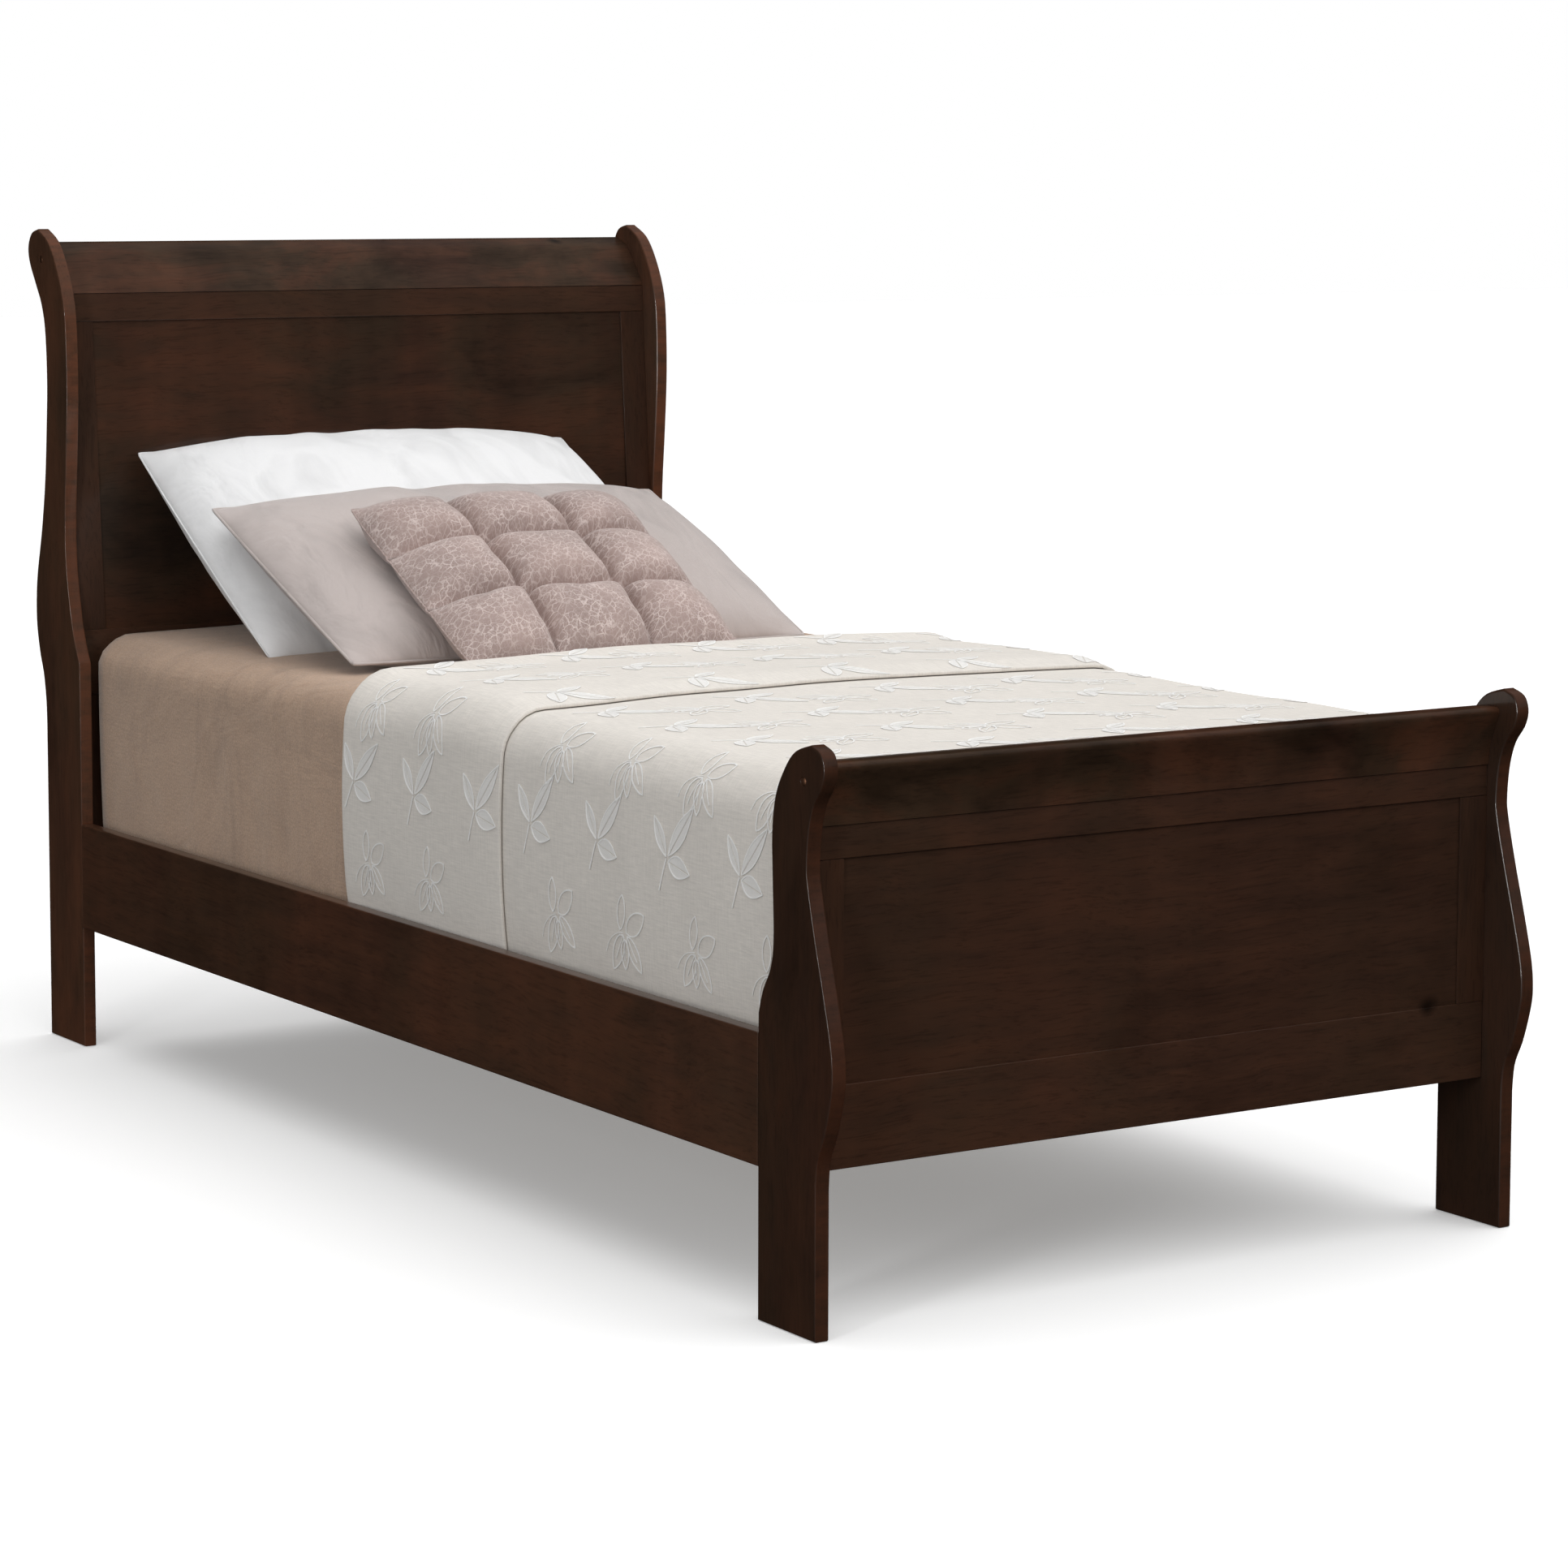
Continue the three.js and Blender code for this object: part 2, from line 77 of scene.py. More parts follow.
class Shader(Nodes):
    """A procedural material: each method adds a node and returns its output."""

    def __init__(self, name, roughness=0.6, **constants):
        self.material = bpy.data.materials.new(name)
        super().__init__(self.material)
        self.surface = self.tree.nodes["Principled BSDF"]
        self.surface.inputs["Roughness"].default_value = roughness
        for socket, value in constants.items():
            self.surface.inputs[socket.replace("_", " ")].default_value = value

    def coords(self, output="Object"):
        return self.node("ShaderNodeTexCoord").outputs[output]

    def cloth_uv(self):
        return self.node("ShaderNodeUVMap", uv_map="cloth").outputs[0]

    def scaled(self, vector, scale):
        return self.node("ShaderNodeMapping", (("Vector", vector), ("Scale", scale))).outputs[0]

    def noise(self, vector, scale, detail=3.0, roughness=0.5, distortion=0.0):
        inputs = (("Vector", vector), ("Scale", scale), ("Detail", detail), ("Roughness", roughness),
                  ("Distortion", distortion))
        return self.node("ShaderNodeTexNoise", inputs).outputs[0]

    def bands(self, vector, scale, direction="X"):
        inputs = (("Vector", vector), ("Scale", scale))
        return self.node("ShaderNodeTexWave", inputs, bands_direction=direction).outputs["Fac"]

    def cells(self, vector, scale, feature="DISTANCE_TO_EDGE"):
        inputs = (("Vector", vector), ("Scale", scale))
        return self.node("ShaderNodeTexVoronoi", inputs, feature=feature).outputs["Distance"]

    def math(self, operation, a, b=0.0):
        return self.node("ShaderNodeMath", ((0, a), (1, b)), operation=operation).outputs[0]

    def ramp(self, value, *stops):
        made = self.node("ShaderNodeValToRGB")
        while len(made.color_ramp.elements) < len(stops):
            made.color_ramp.elements.new(0.5)
        for element, (place, shade) in zip(made.color_ramp.elements, stops):
            element.position = place
            element.color = (*shade, 1) if hasattr(shade, "__len__") else (shade, shade, shade, 1)
        self.link(value, made.inputs[0])
        return made.outputs[0]

    def mix(self, factor, a, b, blend="MIX"):
        a, b = ((*value, 1) if isinstance(value, tuple) else value for value in (a, b))
        inputs = (("Factor", factor), (6, a), (7, b))
        return self.node("ShaderNodeMix", inputs, data_type="RGBA", blend_type=blend).outputs[2]

    def multiply(self, base, shade):
        return self.mix(1.0, base, shade, "MULTIPLY")

    def moved(self, vector, offset, amount):
        inputs = ((0, offset), (1, (amount, amount, amount)), (2, vector))
        return self.node("ShaderNodeVectorMath", inputs, operation="MULTIPLY_ADD").outputs[0]

    def facing_across(self):
        """1 on faces that look along X, 0 on the others."""
        normal = self.node("ShaderNodeSeparateXYZ", ((0, self.coords("Normal")),))
        across = self.math("ABSOLUTE", normal.outputs[0])
        return self.ramp(across, (0.45, 0.0), (0.85, 1.0))

    def bump(self, height, distance, strength=1.0):
        inputs = (("Strength", strength), ("Distance", distance), ("Height", height))
        made = self.node("ShaderNodeBump", inputs)
        last = self.surface.inputs["Normal"]
        if last.links:
            self.link(last.links[0].from_socket, made.inputs["Normal"])
        self.link(made.outputs[0], last)

    def finish(self, color=None, roughness=None):
        if color is not None:
            self.link(color, self.surface.inputs["Base Color"])
        if roughness is not None:
            self.link(roughness, self.surface.inputs["Roughness"])
        return self.material


# ---- wood and metal
GRAIN = {"X": (0.7, 9.0, 9.0), "Y": (9.0, 0.7, 9.0), "Z": (9.0, 9.0, 0.7)}


def stained_wood(name, axis, dark=1.0, red_edges=False, figure=1.0, coat=0.5):
    """Espresso stain under lacquer: blotchy colour, fine grain along one axis, small knots."""
    s = Shader(name, Coat_Weight=coat, Coat_Roughness=0.12, Specular_IOR_Level=0.12)
    place = s.coords()
    drift = s.noise(s.scaled(place, (2.2, 2.2, 2.2)), 1.0, 3.0, 0.6)
    grain_place = s.moved(s.scaled(place, GRAIN[axis]), drift, 0.55)
    grain = s.noise(grain_place, 5.0, 9.0, 0.68, 0.5)
    fibres = s.noise(grain_place, 34.0, 4.0, 0.7)
    stretch = tuple(1.0 if g < 1 else 2.4 for g in GRAIN[axis])
    blotch = s.noise(s.scaled(place, stretch), 3.4, 5.0, 0.62, 0.4)
    cloud = s.noise(s.scaled(place, (1.6, 1.6, 0.7)), 2.3, 4.0, 0.55, 0.3)
    bands = s.noise(s.scaled(place, (9.0, 9.0, 0.25)), 1.6, 2.0, 0.5)
    knots = s.cells(s.moved(s.scaled(place, (1.9, 1.9, 1.9)), drift, 0.5), 1.6, "F1")

    def tone(r, g, b):
        return (r * dark, g * dark, b * dark)

    base = s.ramp(grain, (0.30, tone(0.046, 0.0203, 0.0118)), (0.5, tone(0.060, 0.0260, 0.0148)),
                  (0.70, tone(0.076, 0.0325, 0.0178)))
    olive = s.ramp(cloud, (0.40, 0.8 * figure), (0.60, 0.0))
    base = s.mix(olive, base, tone(0.052, 0.0285, 0.0158))
    red = s.ramp(blotch, (0.47, 0.0), (0.70, 0.6 * figure))
    base = s.mix(red, base, tone(0.105, 0.039, 0.0190))
    base = s.multiply(base, s.ramp(blotch, (0.26, 1 - 0.42 * figure), (0.46, 1.0)))
    base = s.multiply(base, s.ramp(bands, (0.36, 1 - 0.14 * figure), (0.62, 1.0)))
    base = s.multiply(base, s.ramp(fibres, (0.36, 0.74), (0.48, 1.0)))
    base = s.multiply(base, s.ramp(knots, (0.012, 0.25), (0.05, 1.0)))
    if red_edges:
        edge = s.math("SUBTRACT", 1.0, s.facing_across())
        worn = s.ramp(s.noise(s.scaled(place, (6, 22, 22)), 3.0, 5.0, 0.7), (0.35, 0.1), (0.62, 0.8))
        base = s.mix(s.math("MULTIPLY", edge, worn), base, tone(0.105, 0.036, 0.017))
    gloss = s.ramp(grain, (0.25, 0.50), (0.75, 0.34))
    s.bump(fibres, 0.00012, 0.5)
    s.bump(s.noise(place, 26.0, 2.0), 0.0006, 0.30)
    return s.finish(base, gloss)


def slat_wood():
    s = Shader("slat_wood")
    place = s.coords()
    grain = s.noise(s.moved(s.scaled(place, GRAIN["X"]), s.noise(place, 3.0), 0.4), 7.0, 7.0, 0.65, 0.6)
    rings = s.bands(s.moved(s.scaled(place, (0.5, 8, 8)), grain, 0.8), 3.0, "Y")
    color = s.ramp(grain, (0.3, (0.42, 0.27, 0.14)), (0.7, (0.66, 0.49, 0.30)))
    color = s.mix(s.ramp(rings, (0.1, 0.0), (0.9, 0.35)), color, (0.36, 0.21, 0.10))
    s.bump(grain, 0.0004, 0.5)
    return s.finish(color, s.ramp(grain, (0.3, 0.75), (0.7, 0.55)))


def metal(name, tint, roughness, brushed="Y"):
    s = Shader(name, Metallic=1.0)
    place = s.coords()
    scratches = s.noise(s.scaled(place, GRAIN[brushed]), 60.0, 5.0, 0.7)
    stain = s.noise(place, 22.0, 3.0)
    color = s.mix(s.ramp(stain, (0.4, 0.0), (0.75, 0.5)), tint, tuple(0.6 * c for c in tint))
    s.bump(scratches, 0.00008, 0.6)
    return s.finish(color, s.ramp(scratches, (0.3, roughness), (0.7, roughness + 0.2)))


# ---- cloth materials
def woven(name, color, threads, roughness=0.85, slub=0.0, sheen=0.3, fine=0.06, nap=0.0, folds=0.0,
          fleck=0.0):
    """Cloth with crossing threads, so many a metre, on the piece's own flat coordinates.

    slub is unevenness of the threads, fine how much their colour varies, nap a raised surface, folds soft
    creases, bumped and darkened with painted shade, and fleck dark specks with painted shade along broad
    creases.
    """
    s = Shader(name, roughness, Sheen_Weight=sheen, Sheen_Roughness=0.4, Specular_IOR_Level=0.3)
    flat = s.cloth_uv()
    wander = s.moved(flat, s.noise(flat, 55.0, 2.0), 0.004)
    warp = s.bands(wander, threads / 3.1416, "X")
    weft = s.bands(wander, threads / 3.1416, "Y")
    weave = s.math("MAXIMUM", warp, weft)
    lumps = s.noise(s.scaled(flat, (14, 170, 1)), 2.2, 4.0, 0.7)
    cross = s.noise(s.scaled(flat, (170, 14, 1)), 2.2, 4.0, 0.7)
    thread = s.math("ADD", s.math("MULTIPLY", lumps, 0.4), s.math("MULTIPLY", cross, 0.6))
    cloudy = s.noise(flat, 5.0, 3.0, 0.6)
    low = tuple(c * (1 - fine - slub) for c in color)
    high = tuple(min(c * (1 + fine + slub), 0.95) for c in color)
    base = s.ramp(thread, (0.36, low), (0.64, high))
    base = s.mix(s.ramp(weave, (0.2, 0.0), (0.9, 0.35)), base, high)
    base = s.mix(s.ramp(cloudy, (0.3, 0.22), (0.6, 0.0)), base, low)
    if fleck:
        speck = s.noise(s.scaled(flat, (300, 420, 1)), 1.0, 3.0, 0.75)
        # painted shade: broad creases darken the colour, with no fold in the surface
        painted_crease_shade = s.noise(s.scaled(flat, (3.0, 9.0, 1)), 1.0, 5.0, 0.65, 1.5)
        base = s.multiply(base, s.ramp(speck, (0.34, 1 - 2 * fleck), (0.66, 1.0)))
        base = s.multiply(base, s.ramp(painted_crease_shade, (0.30, 1 - fleck), (0.50, 1.0)))
    s.bump(thread, 0.0007, 0.35 + slub)
    s.bump(weave, 0.00025, 0.5)
    if nap:
        s.bump(s.noise(flat, 900.0, 3.0, 0.7), 0.0012, nap)
    if folds:
        creases = s.noise(s.scaled(flat, (1.0, 0.5, 1.0)), 9.0, 4.0, 0.5, 1.4)
        # painted shade: the colour darkens along the creases, which are also bumped
        base = s.multiply(base, s.ramp(creases, (0.34, 1 - 0.3 * folds), (0.52, 1.0)))
        s.bump(creases, 0.018, folds)
    return s.finish(base)


def crackle_cloth(name, ground, line):
    """Jacquard with a fine pale crackle, as short wandering lines."""
    s = Shader(name, 0.7, Sheen_Weight=0.35, Sheen_Roughness=0.4, Specular_IOR_Level=0.35)
    flat = s.cloth_uv()
    wander = s.moved(flat, s.noise(flat, 95.0, 3.0, 0.6), 0.011)
    wide = s.cells(wander, 92.0)
    narrow = s.cells(s.moved(wander, s.noise(flat, 240.0), 0.003), 170.0)
    lines = s.math("MAXIMUM", s.ramp(wide, (0.02, 1.0), (0.08, 0.0)),
                   s.math("MULTIPLY", s.ramp(narrow, (0.02, 1.0), (0.09, 0.0)), 0.5))
    fade = s.ramp(s.noise(flat, 38.0, 2.0), (0.32, 0.2), (0.58, 1.0))
    lines = s.math("MULTIPLY", lines, fade)
    cloudy = s.noise(flat, 9.0, 3.0)
    base = s.ramp(cloudy, (0.3, tuple(0.82 * c for c in ground)), (0.7, tuple(1.12 * c for c in ground)))
    base = s.mix(s.math("MULTIPLY", lines, 0.7), base, line)
    s.bump(s.noise(flat, 1400.0, 2.0), 0.0004, 0.5)
    s.bump(lines, 0.0006, 0.5)
    return s.finish(base)


# ---- mesh helpers
def added(name, data):
    """A new object with data, linked into the scene."""
    made = bpy.data.objects.new(name, data)
    bpy.context.scene.collection.objects.link(made)
    return made


def mesh_piece(name, points, faces, material, body, flat=None):
    """A smooth mesh in the row frame, with its flat cloth coordinates in metres as the UV map."""
    mesh = bpy.data.meshes.new(name)
    mesh.from_pydata([tuple(p) for p in points], [], [tuple(f) for f in faces])
    if flat is not None:
        layer = mesh.uv_layers.new(name="cloth")
        corners = np.zeros(len(mesh.loops), np.int32)
        mesh.loops.foreach_get("vertex_index", corners)
        layer.data.foreach_set("uv", np.asarray(flat, float)[corners].ravel())
    mesh.polygons.foreach_set("use_smooth", [True] * len(mesh.polygons))
    mesh.materials.append(material)
    mesh.update()
    piece = added(name, mesh)
    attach(piece, body)
    return piece


def modifier(piece, kind, **settings):
    made = piece.modifiers.new(kind.title(), kind)
    for key, value in settings.items():
        setattr(made, key, value)
    return made


def cell(i, j):
    """The corners of a grid's cell, in turn."""
    return (i, j), (i + 1, j), (i + 1, j + 1), (i, j + 1)


def grid_faces(rows, columns, start=0):
    faces = []
    for j in range(rows - 1):
        for i in range(columns - 1):
            a = start + j * columns + i
            faces.append((a, a + 1, a + columns + 1, a + columns))
    return faces


def spaced(low, high, step):
    return np.linspace(low, high, max(2, round(abs(high - low) / step) + 1))


def smoothstep(low, high, x):
    t = np.clip((x - low) / (high - low), 0, 1)
    return t * t * (3 - 2 * t)


def ripple(points, scale, seed):
    """Smooth unevenness, about -1 to 1, at each point."""
    shift = Vector((seed * 3.1, seed * 7.7, seed * 1.3))
    return np.array([noise.noise(Vector(p) * scale + shift) for p in points])


def tube(name, line, radius, material, body, sides=8):
    """A closed loop of piping along the points of line."""
    line = np.asarray(line, float)
    ahead = np.roll(line, -1, 0) - np.roll(line, 1, 0)
    ahead /= np.linalg.norm(ahead, axis=1)[:, None]
    side = np.cross(ahead, (0.0, 0.0, 1.0))
    side /= np.maximum(np.linalg.norm(side, axis=1), 1e-6)[:, None]
    up = np.cross(side, ahead)
    points, flat = [], []
    run = np.concatenate([[0], np.cumsum(np.linalg.norm(np.diff(line, axis=0), axis=1))])
    for k in range(sides):
        angle = 2 * math.pi * k / sides
        points.append(line + radius * (math.cos(angle) * side + math.sin(angle) * up))
        flat.append(np.stack([run, np.full(len(line), radius * angle)], 1))
    count = len(line)
    faces = [(k * count + i, ((k + 1) % sides) * count + i, ((k + 1) % sides) * count + (i + 1) % count,
              k * count + (i + 1) % count) for k in range(sides) for i in range(count)]
    return mesh_piece(name, np.concatenate(points), faces, material, body, np.concatenate(flat))


# ---- the bed frame
def dress_frame():
    """Rounded arrises and finishes on the frame's own pieces."""
    # the first part of a name that fits decides
    finishes = (
        ("crest_screw", metal("bronze", (0.085, 0.042, 0.025), 0.5)),
        ("bracket", metal("zinc", (0.55, 0.56, 0.58), 0.34)),
        ("slat_", slat_wood()),
        # painted shade and painted light: one stain, darkened on the foot posts and lightened on the head posts
        ("foot_post", stained_wood("wood_foot_post_painted_shade", "Z", 0.66, red_edges=True, figure=0.9)),
        ("head_post", stained_wood("wood_head_post_painted_light", "Z", 1.3, red_edges=True, figure=0.9)),
        ("side_rail", stained_wood("wood_side_rail", "Y", 1.12, figure=0.75)),
        ("crest", stained_wood("wood_crest", "X", 1.0, figure=1.9, coat=0.35)),
        ("foot_panel", stained_wood("wood_panel", "X", 0.82, figure=0.65)),
        ("panel", stained_wood("wood_head_panel", "X", 0.76, figure=1.4)),
        ("stile", stained_wood("wood_upright", "Z", 0.8, figure=0.6)),
        ("", stained_wood("wood_across", "X", 0.92, figure=0.7)),
    )
    for name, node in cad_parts.items():
        if name in SOFT_NODES:
            continue
        finish = next(material for part, material in finishes if part in name)
        node.data.materials.clear()
        node.data.materials.append(finish)
        node.data.polygons.foreach_set("use_smooth", [True] * len(node.data.polygons))
        modifier(node, "WELD", merge_threshold=1e-5)
        if "screw" not in name:
            round_off = 0.0004 if "bracket" in name else 0.0011
            modifier(node, "BEVEL", width=round_off, segments=2, limit_method="ANGLE",
                     angle_limit=math.radians(35), use_clamp_overlap=True)
            modifier(node, "WEIGHTED_NORMAL", keep_sharp=False)


# ---- mattress, sheet and coverlet
SOFT_NODES = ("mattress", "fitted_sheet", "coverlet", "pillow_white", "pillow_taupe", "cushion_tufted")
CORNER = 0.046  # rounding of the mattress under the sheet
HEAD_CORNER = 0.018  # the same at the head end, measured along the bed
HEAD_PUSH = 0.012  # how far the top of the head end leans back
HEAD_BULGE = 0.007  # how far the bare sides of the sheet stand out towards the posts
CROWN = 0.009  # how far the middle of the bedding stands above its edges


def wrap(points, low, high, radius, offset, open_head=False):
    """Points of a box, drawn onto the rounded block and lifted off it; returns them and the way out."""
    inner_low = np.array([low[0] + radius, low[1] + radius, -9.0])
    inner_high = np.array([high[0] - radius, 9.0 if open_head else high[1] - HEAD_CORNER, high[2] - radius])
    core = np.clip(points, inner_low, inner_high)
    out = points - core
    tight = np.where(out[:, 1] > 0, HEAD_CORNER / radius, 1.0)
    out[:, 1] /= tight
    out /= np.maximum(np.linalg.norm(out, axis=1), 1e-9)[:, None]
    placed = out * (radius + np.asarray(offset).reshape(-1, 1))
    placed[:, 1] *= tight
    return core + placed, out


def lie_back(points, low, high):
    """Push the head end of the bedding up to the leaning headboard."""
    rise = np.clip((points[:, 2] - low[2]) / (high[2] - low[2]), 0, 1)
    points[:, 1] += HEAD_PUSH * rise * smoothstep(high[1] - 0.25, high[1], points[:, 1])


def box_skin(xs, ys, zs, head=True):
    """Points and faces of a box without its bottom, and if head is False without its head end."""
    points, faces, known = [], [], {}

    def index(p):
        key = tuple(round(c, 5) for c in p)
        if key not in known:
            known[key] = len(points)
            points.append(p)
        return known[key]

    def sheet(a, b, place):
        for i in range(len(a) - 1):
            for j in range(len(b) - 1):
                faces.append([index(place(a[p], b[q])) for p, q in cell(i, j)])

    sheet(xs, ys, lambda x, y: (x, y, zs[-1]))
    sheet(ys, zs, lambda y, z: (xs[-1], y, z))
    sheet(ys[::-1], zs, lambda y, z: (xs[0], y, z))
    sheet(xs, zs, lambda x, z: (x, ys[0], z))
    if head:
        sheet(xs[::-1], zs, lambda x, z: (x, ys[-1], z))
    return np.array(points), faces


def crown(points, low, high):
    u = (points[:, 0] - (low[0] + high[0]) / 2) / ((high[0] - low[0]) / 2)
    top = smoothstep(high[2] - 0.06, high[2], points[:, 2])
    return top * CROWN * np.clip(1 - u ** 2, 0, 1)


def unrolled(points, low, high):
    """Flat coordinates of a skin: sides folded out from the top."""
    drop = high[2] - points[:, 2]
    flat = points[:, :2].copy()
    for axis in (0, 1):
        flat[:, axis] += np.where(points[:, axis] >= high[axis] - SAME, drop, 0)
        flat[:, axis] -= np.where(points[:, axis] <= low[axis] + SAME, drop, 0)
    return flat


def make_mattress():
    low, high = (np.array(c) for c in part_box("mattress"))
    ticking = woven("ticking", (0.74, 0.72, 0.68), 900, 0.8, slub=0.04)
    piping = woven("ticking_tape", (0.50, 0.46, 0.41), 1400, 0.7)
    xs, ys = spaced(low[0], high[0], 0.05), spaced(low[1], high[1], 0.05)
    zs = spaced(low[2], high[2], 0.03)
    skin, faces = box_skin(xs, ys, zs)
    base = len(skin)
    floor = [(x, y, low[2]) for y in ys for x in xs]
    faces += [f[::-1] for f in grid_faces(len(ys), len(xs), base)]
    points = np.concatenate([skin, np.array(floor)])
    flat = unrolled(points, low, high)
    placed, _ = wrap(points, low, high, CORNER, -0.004)
    placed[base:] = points[base:]
    lie_back(placed, low, high)
    edge = np.abs(points[base:, :2] - (low[:2] + high[:2]) / 2) >= (high[:2] - low[:2]) / 2 - SAME
    for axis in (0, 1):
        placed[base:, axis] -= np.sign(placed[base:, axis]) * 0.003 * edge[:, axis]
    core = mesh_piece("mattress_core", placed, faces, ticking, MATTRESS_BODY, flat)
    modifier(core, "WELD", merge_threshold=0.0005)
    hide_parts("mattress")
    inset = 0.008
    loop = rounded_loop(low[:2] + inset, high[:2] - inset, 0.04)
    line = [(x, y, low[2] + 0.0065) for x, y in loop]
    tube("mattress_piping", line, 0.0045, piping, MATTRESS_BODY)


def rounded_loop(low, high, radius, step=0.03):
    """A rectangle with round corners, as points."""
    arcs = []
    corners = ((high[0], high[1], 0), (low[0], high[1], 90), (low[0], low[1], 180), (high[0], low[1], 270))
    for x, y, start in corners:
        cx = x - radius if x == high[0] else x + radius
        cy = y - radius if y == high[1] else y + radius
        angles = [math.radians(start + a) for a in range(0, 91, 15)]
        arcs.append([(cx + radius * math.cos(a), cy + radius * math.sin(a)) for a in angles])
    loop = []
    for arc, following in zip(arcs, arcs[1:] + arcs[:1]):
        loop += arc
        last, first = np.array(arc[-1]), np.array(following[0])
        for t in spaced(0, 1, step / np.linalg.norm(first - last))[1:-1]:
            loop.append(tuple(last + t * (first - last)))
    return loop


def make_sheet():
    """Fitted sheet pulled over the mattress, with corner gathers and slack pulls in its sides."""
    low, high = (np.array(c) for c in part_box("fitted_sheet"))
    # folds and fleck darken the sheet along its creases as painted shade
    cloth = woven("tan_sheet", (0.555, 0.375, 0.258), 1250, 0.9, slub=0.06, sheen=0.35, fine=0.10, nap=0.45,
                  folds=0.25, fleck=0.17)
    step = 0.02
    zs = spaced(low[2], high[2], step)
    points, faces = box_skin(spaced(low[0], high[0], step), spaced(low[1], high[1], step), zs)
    flat = unrolled(points, low, high)
    placed, out = wrap(points, low, high, CORNER, -0.002)
    placed[:, 2] += crown(placed, low, high)
    side = 1 - smoothstep(0.3, 0.9, out[:, 2])
    height = (points[:, 2] - low[2]) / (high[2] - low[2])
    waves = ripple(points * (1.0, 1.0, 0.22), 9.0, SEED) * 0.0016 + ripple(points, 3.5, SEED + 1) * 0.0022
    to_end = np.minimum(high[1] - points[:, 1], points[:, 1] - low[1])
    corner = np.minimum(high[0] - np.abs(points[:, 0]), to_end)
    pleats = np.sin(placed[:, 0] * 260 + placed[:, 1] * 260)
    gathers = np.exp(-(np.abs(corner) / 0.05) ** 2) * pleats * 0.0010
    belly = 0.0018 * np.sin(math.pi * height) * side
    placed += out * (side * (waves + gathers * (1 - height)) + belly)[:, None]
    placed += out * ((1 - side) * ripple(points, 5.0, SEED + 2) * 0.0018)[:, None]
    lie_back(placed, low, high)
    placed[:, 0] += np.sign(placed[:, 0]) * HEAD_BULGE * side * smoothstep(0.2, 0.8, placed[:, 1])
    piece = mesh_piece("fitted_sheet_cloth", placed, faces, cloth, MATTRESS_BODY, flat)
    modifier(piece, "SOLIDIFY", thickness=0.0012, offset=1.0)
    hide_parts("fitted_sheet")
    return piece


COVER_THICK = 0.0055
FOLDED_BACK = 0.435  # how much of the coverlet is turned down
TUCKED_BELOW = 0.352  # height up to which the coverlet lies inside the side rails
RAIL_GAP, LAYER_GAP = 0.0009, 0.0006  # from the rail to the cloth, and between its two layers there
RAIL_INSIDE = (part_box("side_rail_right")[0]).x


